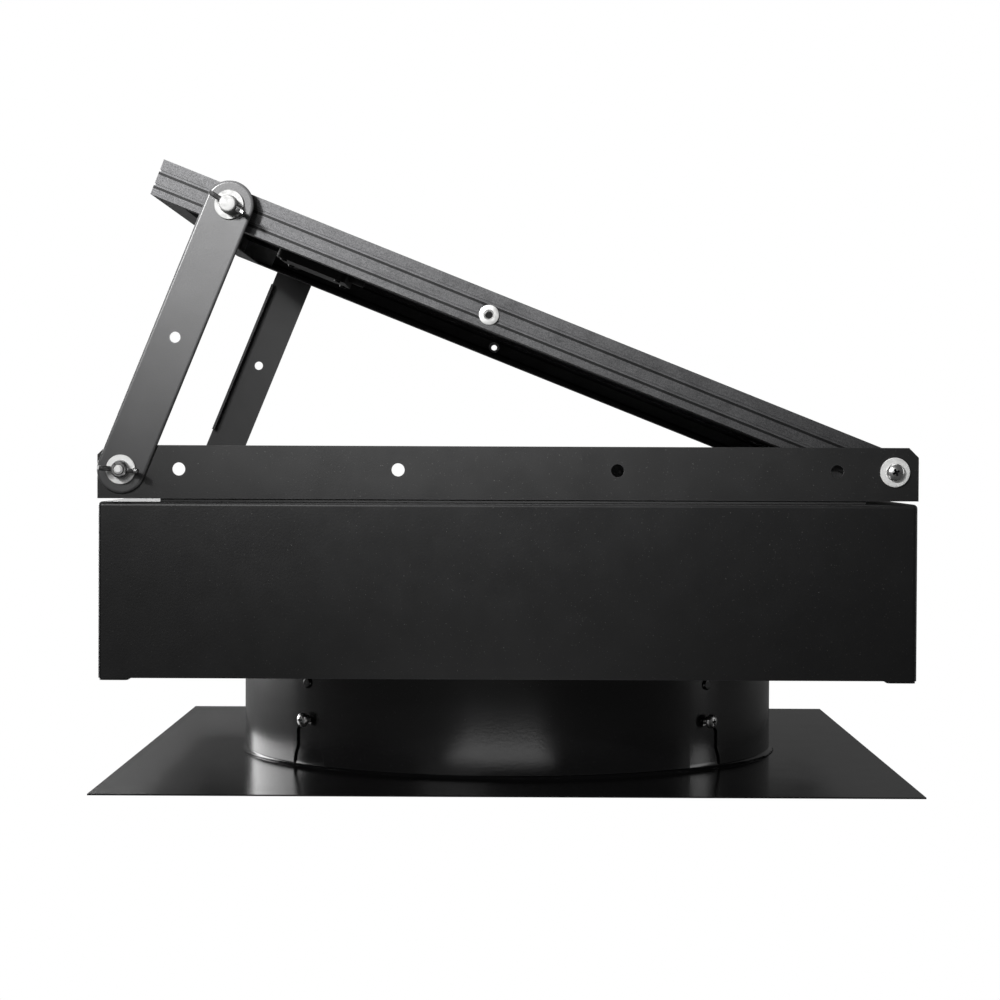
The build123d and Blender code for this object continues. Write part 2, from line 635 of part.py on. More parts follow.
def hood_brackets():
    """Four angle brackets from the neck wall up to the hood's top."""
    top, half, t = HOOD_TOP - SHEET, HOOD_BRACKET_HALF_W, HOOD_BRACKET_T
    wall, step_z = NECK_OUTER_R + HOOD_BRACKET_GAP, HOOD_BRACKET_STEP_Z
    back = wall + HOOD_BRACKET_STEP
    leg = block(wall, wall + t, -half, half, HOOD_BRACKET_BOTTOM, step_z)
    leg += block(wall, back, -half, half, step_z - t, step_z)
    leg += block(back - t, back, -half, half, step_z - t, top)
    leg += block(back - t, back + half, -half, half, top - t, top)
    leg -= Pos(wall, 0, HOOD_BRACKET_RIVET_Z) * Rot(0, 90, 0) * Cylinder(RIVET_HOLE_R, 10)
    for y in (-BRACKET_RIVET_HALF_GAP, BRACKET_RIVET_HALF_GAP):
        leg -= z_rod(HOOD_BRACKET_R, y, RIVET_HOLE_R, top - 4, top + 1)
    return [Rot(0, 0, angle) * leg for angle in QUARTER_ANGLES]


def hood_rivets():
    """Sealed dome rivets in the hood's top."""
    rivet = dome_rivet(4.5, 1.8, RIVET_R, 5.0)
    return [Pos(x, y, HOOD_TOP) * rivet for x, y in hood_rivet_places()]


def cable_gland():
    """Rubber grommet in the hood's top for the panel's lead."""
    z = HOOD_TOP - SHEET
    grommet = revolved([
        (4, z - 3), (11, z - 3), (11, z), (8, z), (8, HOOD_TOP), (11, HOOD_TOP),
        (10.4, HOOD_TOP + 2.6), (6.5, HOOD_TOP + 6), (4, HOOD_TOP + 6),
    ])
    return Pos(GLAND_X, 0, 0) * grommet


# ---------------------------------------------------------------- rails
def rail(side):
    """Angle rail: upright web with adjustment holes, and an inward foot."""
    half, y = RAIL_LENGTH / 2, side * RAIL_OUTER_Y
    web = block(-half, half, y, y - side * RAIL_T, RAIL_BOTTOM, RAIL_TOP)
    web = chamfer(web.edges().filter_by(Axis.Y).group_by(Axis.Z)[-1], RAIL_CHAMFER)
    foot = block(*RAIL_FLANGE_XS, y, y - side * RAIL_FLANGE_W, RAIL_BOTTOM, RAIL_BOTTOM + RAIL_T)
    shape = web + foot
    for x in RAIL_HOLE_XS:
        shape -= y_rod(x, PIVOT_Z + RAIL_HOLE_RISE, RAIL_HOLE_R, y + side, y - side * 4)
    if side > 0:
        shape -= y_rod(LEAD_HOLE_X, LEAD_HOLE_Z, LEAD_HOLE_R, y + side, y - side * 4)
    for x in (-PIVOT_X, PIVOT_X):
        shape -= y_rod(x, PIVOT_Z, M6_RUNNING_R, y + side, y - side * 4)
    for x in RAIL_SCREW_XS:
        shape -= z_rod(x, side * RAIL_SCREW_Y, RAIL_SCREW_HOLE_R, RAIL_BOTTOM - 1, RAIL_BOTTOM + 4)
    return shape


def rail_gaskets():
    """Rubber strips between the rails' feet and the hood."""
    strips = []
    for side in (-1, 1):
        y = side * (RAIL_OUTER_Y - 1.5)
        strip = block(*RAIL_FLANGE_XS, y, y - side * GASKET_W, HOOD_TOP, RAIL_BOTTOM)
        for x in RAIL_SCREW_XS:
            strip -= z_rod(x, side * RAIL_SCREW_Y, RAIL_SCREW_HOLE_R, HOOD_TOP - 1, RAIL_BOTTOM + 1)
        strips.append(strip)
    return strips


def rail_screws():
    """M5 screws down through the rails' feet."""
    screw = pan_screw(M5_R, RAIL_SCREW_LENGTH, RAIL_SCREW_HEAD_R, RAIL_SCREW_HEAD_H)
    return [Pos(x, y, RAIL_BOTTOM + RAIL_T) * screw for x, y in rail_screw_places()]


def rail_nuts():
    """M5 nuts inside the hood."""
    nut = hex_nut(RAIL_NUT_FLATS, RAIL_NUT_H, M5_R)
    return [Pos(x, y, HOOD_TOP - SHEET - RAIL_NUT_H) * nut for x, y in rail_screw_places()]


def foot_stud(side):
    """Clinch stud, flush inside the rail, that the prop arm swings on."""
    y = side * RAIL_INNER_Y
    stud = y_rod(-PIVOT_X, PIVOT_Z, M6_R, y, side * STUD_END_Y)
    return chamfer(stud.edges().group_by(Axis.Y)[0 if side < 0 else -1], 0.8)


# ---------------------------------------------------------------- prop arms
def prop_arm(side):
    """Round-ended strip with a narrow return flange along its outer edge."""
    y0, y1 = side * ARM_INNER_Y, side * ARM_OUTER_Y
    half = ARM_HALF_W
    strip = block(-half, half, y0, y1, 0, ARM_LENGTH)
    strip += y_rod(0, 0, half, y0, y1) + y_rod(0, ARM_LENGTH, half, y0, y1)
    low, high = ARM_FLANGE_INSET, ARM_LENGTH - ARM_FLANGE_INSET + 4
    lip = block(-half, -half + ARM_T, side * ARM_FLANGE_INNER_Y, y1, low, high)
    bent = strip + lip
    corner = bent.edges().filter_by(Axis.Z).sort_by(Axis.X).group_by(Axis.X)[0]
    outer_edge = [e for e in corner if abs(e.center().Y - y1) < 0.01 and e.length > 100]
    bent = fillet(outer_edge, 1.9)
    for z, r in ((0, M6_RUNNING_R), (ARM_LENGTH / 2, ARM_MID_HOLE_R), (ARM_LENGTH, M6_RUNNING_R)):
        bent -= y_rod(0, z, r, side * 260, side * 280)
    return ARM_AT * bent


def arm_spacer(side):
    """Sleeve on the arm's inner face that keeps it clear of the panel frame."""
    inner = side * (RIVNUT_FACE_Y + SPACER_GAP)
    return y_ring(TOP_PIVOT_X, TOP_PIVOT_Z, SPACER_R, M6_RUNNING_R, inner, side * ARM_INNER_Y)


def arm_washer(side, x, z):
    """Wide M6 washer on the arm's outer face."""
    return y_ring(x, z, WASHER_R, WASHER_BORE_R, side * ARM_OUTER_Y, side * (ARM_OUTER_Y + WASHER_T))


def wing_nut(side):
    """Wing nut on the foot stud."""
    boss = Pos(0, 0, WING_BOSS_H / 2) * Cone(WING_BOSS_R + 0.6, WING_BOSS_R - 0.8, WING_BOSS_H)
    nut = boss + wings() - Cylinder(M6_RUNNING_R, 60)
    turned = Rot(0, 0, side * WING_NUT_TURN) * nut
    return outward(side, -PIVOT_X, ARM_OUTER_Y + WASHER_T, PIVOT_Z) * turned


def wing_bolt(side):
    """Wing bolt at the arm's top; its thread ends short of the panel's rivet nut."""
    boss = Pos(0, 0, WING_BOLT_BOSS_H / 2) * Cylinder(WING_BOSS_R, WING_BOLT_BOSS_H)
    boss = fillet(boss.edges().group_by(Axis.Z)[-1], 1.5)
    thread = ARM_OUTER_Y + WASHER_T - RIVNUT_FACE_Y - SPACER_GAP
    bolt = boss + wings() + Pos(0, 0, -thread / 2) * Cylinder(M6_R, thread)
    turned = Rot(0, 0, side * WING_BOLT_TURN) * bolt
    return outward(side, TOP_PIVOT_X, ARM_OUTER_Y + WASHER_T, TOP_PIVOT_Z) * turned


# ---------------------------------------------------------------- solar panel
def frame_section():
    """The frame extrusion's section: x is inward from the outer face, y is up."""
    top, bottom = PANEL_H / 2, -PANEL_H / 2
    section = Pos(FRAME_WEB / 2, 0) * Rectangle(FRAME_WEB, PANEL_H)
    section += Pos(FRAME_LIP_W / 2, top - FRAME_LIP_T / 2) * Rectangle(FRAME_LIP_W, FRAME_LIP_T)
    shelf_w = FRAME_LIP_W + 2
    t = FRAME_LIP_T
    section += Pos(shelf_w / 2, SHELF_TOP - t / 2) * Rectangle(shelf_w, t)
    section += Pos(FRAME_FLANGE_W / 2, bottom + t / 2) * Rectangle(FRAME_FLANGE_W, t)
    for depth in GROOVE_DEPTHS_FROM_TOP:
        section -= Pos(0, top - depth) * Rectangle(2 * GROOVE_D, GROOVE_W)
    return section


def mitre_prism(corners):
    """An upright prism over a plan outline, used to mitre a frame member."""
    return Pos(0, 0, -PANEL_H) * extrude(make_face(Polyline(*corners, close=True)), 2 * PANEL_H)


def panel_plan():
    """Low end, high end and half width of the panel about its hinge, drawn flat."""
    return PANEL_LOW_END, -PANEL_HIGH_END, PANEL_OUTER_Y


def frame_side(side):
    """Long frame member with rivet nut holes at the hinge, middle and arm pivot."""
    low, high, half = panel_plan()
    member = extrude(Plane.YZ * frame_section(), low - high)
    member = Pos(high, -half, 0) * member
    if side > 0:
        member = mirror(member, Plane.XZ)
    reach = MITRE_REACH
    prism = mitre_prism([
        (low, side * half), (high, side * half),
        (high + reach, side * (half - reach)), (low - reach, side * (half - reach)),
    ])
    member = member & prism
    for x, z in rivet_nut_places():
        member -= y_rod(x, z, RIVNUT_BODY_R, side * (half + 1), side * (half - FRAME_WEB - 1))
    return PANEL_AT * member


def frame_end(at_low_end):
    """Cross frame member at the hinge end or the raised end."""
    low, high, half = panel_plan()
    x, inward = (low, -1) if at_low_end else (high, 1)
    member = extrude(Plane.XZ * frame_section(), -2 * half)
    member = Pos(0, -half, 0) * member
    if at_low_end:
        member = mirror(member, Plane.YZ)
    reach = MITRE_REACH
    prism = mitre_prism([
        (x, -half), (x, half), (x + inward * reach, half - reach), (x + inward * reach, -half + reach),
    ])
    return PANEL_AT * ((Pos(x, 0, 0) * member) & prism)


def rivet_nut_places():
    """Hinge, middle and arm positions along the frame, as (x, z) drawn flat."""
    return ((0, 0), (-MID_HOLE_REACH, -MID_HOLE_DROP), (-PANEL_REACH, 0))


def corner_cleats():
    """Angle cleats that join the frame members at their corners."""
    low, high, half = panel_plan()
    z0, z1 = CLEAT_ZS
    cleats = []
    for x, inward in ((low - FRAME_WEB - 0.05, -1), (high + FRAME_WEB + 0.05, 1)):
        for side in (-1, 1):
            y = side * (half - FRAME_WEB - 0.05)
            cleat = block(x, x + inward * CLEAT_T, y, y - side * CLEAT_LEG, z0, z1)
            if inward > 0:
                cleat += block(x, x + inward * CLEAT_LEG, y, y - side * CLEAT_T, z0, z1)
            cleats.append(PANEL_AT * cleat)
    return cleats


def laminate_box(z0, z1, inset):
    """A flat layer of the panel's laminate."""
    low, high, half = panel_plan()
    edge = half - inset
    return block(high + inset, low - inset, -edge, edge, z0, z1)


def panel_glass():
    """Tempered cover glass."""
    z0 = SHELF_TOP + BACKSHEET_T + CELL_T
    return PANEL_AT * laminate_box(z0, z0 + GLASS_T, FRAME_WEB + LAMINATE_GAP)


def panel_backsheet():
    """Black backsheet and encapsulant below the cells."""
    return PANEL_AT * laminate_box(SHELF_TOP, SHELF_TOP + BACKSHEET_T, FRAME_WEB + LAMINATE_GAP)


def solar_cells():
    """Cells between the backsheet and the glass, in columns across the panel."""
    low, high, half = panel_plan()
    margin, gap = CELL_MARGIN, CELL_GAP
    span_x, span_y = (low - high) - 2 * margin, 2 * half - 2 * margin
    pitch_x, pitch_y = span_x / CELL_ROWS, span_y / CELL_COLUMNS
    z0 = SHELF_TOP + BACKSHEET_T + CELL_T / 2
    cells = []
    for i in range(CELL_ROWS):
        for j in range(CELL_COLUMNS):
            x = high + margin + (i + 0.5) * pitch_x
            y = -half + margin + (j + 0.5) * pitch_y
            cell = Pos(x, y, z0) * Box(pitch_x - gap, pitch_y - gap, CELL_T)
            cells.append(PANEL_AT * cell)
    return cells


def panel_rivet_nuts():
    """M6 rivet nuts in both side members."""
    nuts = []
    for side in (-1, 1):
        for x, z in rivet_nut_places():
            face, web = side * PANEL_OUTER_Y, side * (PANEL_OUTER_Y - FRAME_WEB)
            nut = y_rod(x, z, RIVNUT_FLANGE_R, side * RIVNUT_FACE_Y, face)
            nut += y_rod(x, z, RIVNUT_BODY_R - 0.02, face, side * (RIVNUT_FACE_Y - RIVNUT_LENGTH))
            nut += y_rod(x, z, RIVNUT_BODY_R + 0.15, web, web - side * 2.5)
            nut -= y_rod(x, z, M6_R, side * (RIVNUT_FACE_Y + 1), side * (RIVNUT_FACE_Y - 30))
            nuts.append(PANEL_AT * nut)
    return nuts


def hinge_bushes():
    """Nylon washers between the panel's hinge rivet nuts and the rails."""
    end = RAIL_INNER_Y - SPACER_GAP
    return [
        y_ring(PIVOT_X, PIVOT_Z, HINGE_BUSH_R, M6_RUNNING_R, side * RIVNUT_FACE_Y, side * end)
        for side in (-1, 1)
    ]


def hinge_washers():
    """Wide washers under the hinge screws' heads."""
    seat = RAIL_OUTER_Y + WASHER_GAP
    return [
        y_ring(PIVOT_X, PIVOT_Z, WASHER_R, M6_R, side * seat, side * (seat + WASHER_T))
        for side in (-1, 1)
    ]


def hinge_screws():
    """M6 cross-recess screws that the panel turns on."""
    seat = RAIL_OUTER_Y + WASHER_GAP + WASHER_T
    screw = pan_screw(M6_R, seat - RIVNUT_FACE_Y + RIVNUT_LENGTH - 2, HINGE_HEAD_R, HINGE_HEAD_H)
    turn = Rot(0, 0, HINGE_HEAD_TURN)
    return [outward(side, PIVOT_X, seat, PIVOT_Z) * turn * screw for side in (-1, 1)]


def junction_box():
    """Junction box body, open below, bonded to the backsheet."""
    top, bottom = SHELF_TOP, JBOX_BOTTOM
    long, wide = JBOX_SIZE
    box = Pos(JBOX_X, 0, (top + bottom) / 2) * Box(long, wide, top - bottom)
    box = fillet(box.edges().filter_by(Axis.Z), JBOX_CORNER_R)
    hollow = Box(long - 2 * JBOX_WALL, wide - 2 * JBOX_WALL, top - bottom)
    box -= Pos(JBOX_X, 0, (top + bottom) / 2 - 2) * hollow
    for x, y in JBOX_SCREW_SPOTS:
        box += z_rod(JBOX_X + x, y, 3.4, bottom, top - 1)
        box -= z_rod(JBOX_X + x, y, 1.3, bottom - 1, bottom + 8)
    box -= jbox_gland_place() * Cylinder(JBOX_GLAND_R, 12)
    return PANEL_AT * box


def jbox_gland_place():
    """Where the gland passes through the junction box's wall, facing the hinge."""
    return Pos(JBOX_X + JBOX_SIZE[0] / 2, 0, JBOX_GLAND_Z) * Rot(0, 90, 0)


def junction_box_lid():
    """Screwed lid on the junction box."""
    lid = Pos(JBOX_X, 0, JBOX_BOTTOM - JBOX_LID_T / 2) * Box(*JBOX_SIZE, JBOX_LID_T)
    lid = fillet(lid.edges().filter_by(Axis.Z), JBOX_CORNER_R)
    for x, y in JBOX_SCREW_SPOTS:
        lid -= z_rod(JBOX_X + x, y, 1.5, JBOX_BOTTOM - JBOX_LID_T - 1, JBOX_BOTTOM + 1)
    return PANEL_AT * lid


def junction_box_screws():
    """Lid screws."""
    screw = pan_screw(1.28, 7.0, 2.6, 1.3)
    return [
        PANEL_AT * Pos(JBOX_X + x, y, JBOX_BOTTOM - JBOX_LID_T) * Rot(180, 0, 0) * screw
        for x, y in JBOX_SCREW_SPOTS
    ]


def junction_box_gland():
    """Cable gland in the junction box wall, facing the hinge."""
    collar = Pos(0, 0, 6) * Cylinder(6.0, 12)
    neck = Pos(0, 0, -2) * Cylinder(JBOX_GLAND_R - 0.02, 4)
    return PANEL_AT * jbox_gland_place() * (collar + neck - Cylinder(2.6, 60))


# ---------------------------------------------------------------- the assembly
def main():
    os.makedirs("parts", exist_ok=True)
    save("flashing_plate", flashing_plate())
    save("collar_nuts", collar_nuts())
    save("neck_screws", neck_screws())

    save("neck_housing", neck_housing())
    save("venturi_ring", venturi_ring())
    save("outlet_screen", outlet_screen())
    save("inlet_guard", inlet_guard())
    save("motor_bracket", motor_bracket())
    save("bracket_rivets", bracket_rivets())
    save("motor_can", motor_can())
    save("motor_cap", motor_cap())
    save("motor_bearings", motor_bearings())
    save("stator_core", stator_core())
    save("stator_coils", stator_coils())
    save("motor_screws", motor_screws())

    save("motor_shaft", motor_shaft())
    save("rotor_magnets", rotor_magnets())
    save("fan_hub", fan_hub())
    save("fan_blades", fan_blades())
    save("hub_nut", hub_nut())

    save("hood_shell", hood_shell())
    save("hood_corner_plates", hood_corner_plates())
    save("hood_brackets", hood_brackets())
    save("hood_rivets", hood_rivets())
    save("cable_gland", cable_gland())

    save("rail_gaskets", rail_gaskets())
    save("rail_screws", rail_screws())
    save("rail_nuts", rail_nuts())
    for name, side in SIDES.items():
        save(f"rail_{name}", rail(side))
        save(f"foot_stud_{name}", foot_stud(side))
        save(f"prop_arm_{name}", prop_arm(side))
        save(f"arm_spacer_{name}", arm_spacer(side))
        save(f"foot_washer_{name}", arm_washer(side, -PIVOT_X, PIVOT_Z))
        save(f"foot_wing_nut_{name}", wing_nut(side))
        save(f"top_washer_{name}", arm_washer(side, TOP_PIVOT_X, TOP_PIVOT_Z))
        save(f"top_wing_bolt_{name}", wing_bolt(side))
        save(f"panel_frame_{name}", frame_side(side))

    save("panel_frame_low", frame_end(True))
    save("panel_frame_high", frame_end(False))
    save("corner_cleats", corner_cleats())
    save("panel_glass", panel_glass())
    save("solar_cells", solar_cells())
    save("panel_backsheet", panel_backsheet())
    save("panel_rivet_nuts", panel_rivet_nuts())
    save("hinge_bushes", hinge_bushes())
    save("hinge_washers", hinge_washers())
    save("hinge_screws", hinge_screws())
    save("junction_box", junction_box())
    save("junction_box_lid", junction_box_lid())
    save("junction_box_screws", junction_box_screws())
    save("junction_box_gland", junction_box_gland())


main()
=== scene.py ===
"""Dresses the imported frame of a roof-mounted solar attic fan: finishes, hardware and studio.

Everything is in metres, in the frame's own axes: +Z up, +X towards the panel's hinge end.
"""

import json
import math

import bmesh
import bpy
from mathutils import Matrix, Vector


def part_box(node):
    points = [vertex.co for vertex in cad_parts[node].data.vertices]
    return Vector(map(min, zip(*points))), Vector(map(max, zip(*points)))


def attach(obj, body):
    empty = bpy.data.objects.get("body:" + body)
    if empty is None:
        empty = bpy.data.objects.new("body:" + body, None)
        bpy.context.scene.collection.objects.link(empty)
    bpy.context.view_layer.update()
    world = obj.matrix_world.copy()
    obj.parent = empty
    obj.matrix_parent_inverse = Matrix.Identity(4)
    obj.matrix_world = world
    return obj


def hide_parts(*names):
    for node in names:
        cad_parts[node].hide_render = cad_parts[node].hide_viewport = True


bl_info = {
    "name": "Solar Attic Fan Finishing",
    "version": (1, 0, 0),
    "blender": (4, 5, 0),
    "location": "View3D > Sidebar > Attic Fan",
    "description": "Finishes and hardware for a roof-mounted solar attic fan",
    "category": "Object",
}

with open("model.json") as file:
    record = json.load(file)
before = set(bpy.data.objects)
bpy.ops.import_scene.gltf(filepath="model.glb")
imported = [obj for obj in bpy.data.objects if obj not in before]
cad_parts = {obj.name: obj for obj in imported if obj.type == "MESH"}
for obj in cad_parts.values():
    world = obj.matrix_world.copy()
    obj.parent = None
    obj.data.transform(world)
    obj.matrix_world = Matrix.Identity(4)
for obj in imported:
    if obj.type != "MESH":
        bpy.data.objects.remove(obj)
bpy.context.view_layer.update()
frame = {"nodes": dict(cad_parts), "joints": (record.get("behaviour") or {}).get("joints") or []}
MM = 0.001
SIDES = {"near": -1, "far": 1}
JOINTS = {joint["name"]: joint for joint in frame["joints"]}
HINGE = Vector(JOINTS["panel_tilt"]["pos_m"])
TOP_PIVOT = Vector(JOINTS["top_wing_turn_near"]["pos_m"])
FOOT_PIVOT = Vector(JOINTS["foot_wing_turn_near"]["pos_m"])
PANEL_TILT = math.atan2(TOP_PIVOT.z - HINGE.z, HINGE.x - TOP_PIVOT.x)
PANEL_FRAME = Matrix.Translation((HINGE.x, 0, HINGE.z)) @ Matrix.Rotation(PANEL_TILT, 4, "Y")
SHARP_ANGLE = math.radians(35)
# A cross recess, as shares of its screw head's radius and height
RECESS_LENGTH = 1.24
RECESS_WIDTH = 0.33
RECESS_REACH = 0.66
RECESS_DEPTH = 0.66
PANEL_TOP = 10.6 * MM
# The frame's two grooves, where the anodised finish paints lines of shade
PANEL_GROOVES = (PANEL_TOP - 7.9 * MM, PANEL_TOP - 17.7 * MM)


# ---------------------------------------------------------------- settings
class FanFinishSettings(bpy.types.PropertyGroup):
    """Colours and surface texture of the fan's finishes."""

    coat_colour: bpy.props.FloatVectorProperty(
        name="Coat", description="Black powder coat of the hood, neck and flashing",
        subtype="COLOR", default=(0.006, 0.006, 0.0063), min=0, max=1,
    )
    rail_colour: bpy.props.FloatVectorProperty(
        name="Rails", description="Satin coat of the side rails",
        subtype="COLOR", default=(0.007, 0.007, 0.0072), min=0, max=1,
    )
    arm_colour: bpy.props.FloatVectorProperty(
        name="Arms", description="Grey-black coat of the prop arms",
        subtype="COLOR", default=(0.060, 0.060, 0.061), min=0, max=1,
    )
    frame_colour: bpy.props.FloatVectorProperty(
        name="Panel frame", description="Dark anodising of the panel's frame",
        subtype="COLOR", default=(0.060, 0.060, 0.0615), min=0, max=1,
    )
    zinc_colour: bpy.props.FloatVectorProperty(
        name="Zinc", description="Bright zinc plate of the screws, washers and wing bolts",
        subtype="COLOR", default=(0.56, 0.56, 0.555), min=0, max=1,
    )
    cell_colour: bpy.props.FloatVectorProperty(
        name="Cells", description="Silicon under the cover glass",
        subtype="COLOR", default=(0.006, 0.009, 0.028), min=0, max=1,
    )
    peel_size: bpy.props.FloatProperty(
        name="Peel", description="Size of the ripples in the powder coat",
        default=1.4 * MM, min=0.1 * MM, subtype="DISTANCE", unit="LENGTH",
    )
    wear_width: bpy.props.FloatProperty(
        name="Edge wear", description="Width of the rubbed line along the coated edges",
        default=0.8 * MM, min=0.1 * MM, subtype="DISTANCE", unit="LENGTH",
    )


class FanHardwareSettings(bpy.types.PropertyGroup):
    """Sizes of the small hardware that replaces the frame's plain stand-ins."""

    lathe_steps: bpy.props.IntProperty(
        name="Lathe steps", description="Facets round a turned piece", default=64, min=12,
    )
    edge_round: bpy.props.FloatProperty(
        name="Edge round", description="Rounding on the edges of pressed washers",
        default=0.3 * MM, min=0, subtype="DISTANCE", unit="LENGTH",
    )
    pitch_m6: bpy.props.FloatProperty(
        name="M6 pitch", description="Pitch of the M6 thread",
        default=1.0 * MM, subtype="DISTANCE", unit="LENGTH",
    )
    pitch_m5: bpy.props.FloatProperty(
        name="M5 pitch", description="Pitch of the M5 thread",
        default=0.8 * MM, subtype="DISTANCE", unit="LENGTH",
    )
    wing_thickness: bpy.props.FloatProperty(
        name="Wing thickness", description="Thickness of a cast wing at its root",
        default=3.3 * MM, subtype="DISTANCE", unit="LENGTH",
    )
    ribbon_width: bpy.props.FloatProperty(
        name="Ribbon width", description="Width of the solder ribbons along the cells",
        default=1.3 * MM, subtype="DISTANCE", unit="LENGTH",
    )
    guard_wire: bpy.props.FloatProperty(
        name="Guard wire", description="Diameter of the inlet guard's wire",
        default=2.0 * MM, subtype="DISTANCE", unit="LENGTH",
    )


class FanStageSettings(bpy.types.PropertyGroup):
    """Camera, lights and floor."""

    camera_place: bpy.props.FloatVectorProperty(
        name="Camera", description="Where the camera stands", subtype="XYZ", unit="LENGTH",
        default=(0.0017, -1.8969, 0.2306),
    )
    camera_pitch: bpy.props.FloatProperty(
        name="Pitch", description="How far the camera looks down", subtype="ANGLE",
        default=math.radians(1.144),
    )
    camera_yaw: bpy.props.FloatProperty(
        name="Yaw", description="How far the camera looks to the left", subtype="ANGLE",
        default=math.radians(0.241),
    )
    camera_roll: bpy.props.FloatProperty(
        name="Roll", description="Turn of the camera about its own axis", subtype="ANGLE",
        default=math.radians(0.231),
    )
    camera_lens: bpy.props.FloatProperty(
        name="Lens", description="Focal length on a 36 mm wide sensor", default=87.5, min=10,
    )
    ambient: bpy.props.FloatProperty(
        name="Ambient", description="Brightness of the dim studio that the surfaces reflect", default=0.10,
    )


# ---------------------------------------------------------------- finishes
class Finish:
    """A procedural material being mixed: its shader and the nodes that feed it."""

    def __init__(self, name, colour, roughness, metallic=0.0, **sockets):
        self.material = bpy.data.materials.new(name)
        self.material.use_nodes = True
        self.tree = self.material.node_tree
        self.shader = self.tree.nodes["Principled BSDF"]
        self.colour = (*colour, 1.0)
        self.set("Base Color", self.colour)
        self.set("Roughness", roughness)
        self.set("Metallic", metallic)
        for socket, value in sockets.items():
            self.set(socket.replace("_", " "), value)
        self.place = self.node("ShaderNodeTexCoord").outputs["Object"]
        self.height = None

    def set(self, socket, value):
        """Gives a shader socket a constant, or links it to a node's output."""
        self.feed(self.shader.inputs[socket], value)

    def feed(self, socket, value):
        if isinstance(value, bpy.types.NodeSocket):
            self.tree.links.new(value, socket)
        else:
            socket.default_value = value

    def node(self, kind, **settings):
        node = self.tree.nodes.new(kind)
        for name, value in settings.items():
            setattr(node, name, value)
        return node

    def math(self, operation, first, second=0.0):
        node = self.node("ShaderNodeMath", operation=operation)
        self.feed(node.inputs[0], first)
        self.feed(node.inputs[1], second)
        return node.outputs[0]

    def mapped(self, location=(0, 0, 0), rotation=(0, 0, 0), scale=(1, 1, 1)):
        """Object coordinates seen from a turned and stretched frame."""
        node = self.node("ShaderNodeMapping", vector_type="TEXTURE")
        self.feed(node.inputs["Vector"], self.place)
        node.inputs["Location"].default_value = location
        node.inputs["Rotation"].default_value = rotation
        node.inputs["Scale"].default_value = scale
        return node.outputs[0]

    def noise(self, size, detail=3.0, rough=0.55, place=None):
        """Noise with features of about the given size in metres."""
        node = self.node("ShaderNodeTexNoise")
        self.feed(node.inputs["Vector"], place or self.place)
        node.inputs["Scale"].default_value = 1 / size
        node.inputs["Detail"].default_value = detail
        node.inputs["Roughness"].default_value = rough
        return node.outputs["Fac"]

    def cells(self, size, place=None, feature="F1"):
        node = self.node("ShaderNodeTexVoronoi", feature=feature)
        self.feed(node.inputs["Vector"], place or self.place)
        node.inputs["Scale"].default_value = 1 / size
        return node

    def spread(self, value, low, high, to_low=0.0, to_high=1.0):
        """Maps a value from one range to another, clamped."""
        node = self.node("ShaderNodeMapRange")
        for socket, number in zip(node.inputs[:5], (value, low, high, to_low, to_high)):
            self.feed(socket, number)
        return node.outputs[0]

    def mix(self, factor, first, second):
        """Mixes two colours."""
        node = self.node("ShaderNodeMix", data_type="RGBA")
        for socket, value in zip((node.inputs[0], node.inputs[6], node.inputs[7]), (factor, first, second)):
            self.feed(socket, value)
        return node.outputs[2]

    def edges(self, width):
        """1 along sharp edges and 0 on the flats, from a rounded normal."""
        bevel = self.node("ShaderNodeBevel", samples=4)
        bevel.inputs["Radius"].default_value = width
        flat = self.node("ShaderNodeNewGeometry").outputs["Normal"]
        turn = self.node("ShaderNodeVectorMath", operation="DOT_PRODUCT")
        self.feed(turn.inputs[0], bevel.outputs[0])
        self.feed(turn.inputs[1], flat)
        return self.spread(turn.outputs["Value"], 0.995, 0.8)

    def bump(self, height, depth, strength=1.0):
        """Adds relief of the given depth in metres on top of any before it."""
        node = self.node("ShaderNodeBump")
        node.inputs["Strength"].default_value = strength
        node.inputs["Distance"].default_value = depth
        self.feed(node.inputs["Height"], height)
        if self.height:
            self.feed(node.inputs["Normal"], self.height)
        self.height = node.outputs[0]
        self.set("Normal", self.height)


def shade(colour, factor):
    """A lighter or darker version of a colour, with alpha."""
    return (*[min(1.0, channel * factor) for channel in colour[:3]], 1.0)


def powder_coat(name, colour, roughness, peel, wear, dust=1.0):
    """Sprayed and baked paint: fine ripples, a little dust, rubbed edges."""
    finish = Finish(name, colour, roughness)
    ripple = finish.noise(peel, detail=2)
    waves = finish.noise(55 * MM, detail=1)
    finish.bump(waves, 1.6 * MM, 0.10)
    finish.bump(ripple, 0.12 * MM, 0.35)
    haze = finish.spread(finish.noise(38 * MM, detail=4), 0.35, 0.75)
    base = finish.mix(haze, finish.colour, shade(colour, 1.2))
    specks = finish.spread(finish.noise(0.9 * MM, detail=1), 0.735, 0.79, 0, 0.35 * dust)
    base = finish.mix(specks, base, (0.22, 0.22, 0.21, 1))
    worn = finish.edges(wear)
    rubbed = finish.math("MULTIPLY", worn, finish.spread(finish.noise(9 * MM), 0.35, 0.65, 0.15, 0.6))
    finish.set("Base Color", finish.mix(rubbed, base, shade(colour, 7)))
    cloud = finish.noise(22 * MM, detail=6, rough=0.6)
    scuffs = finish.spread(cloud, 0.3, 0.75, roughness * 0.95, roughness * 1.1)
    finish.set("Roughness", scuffs)
    return finish.material


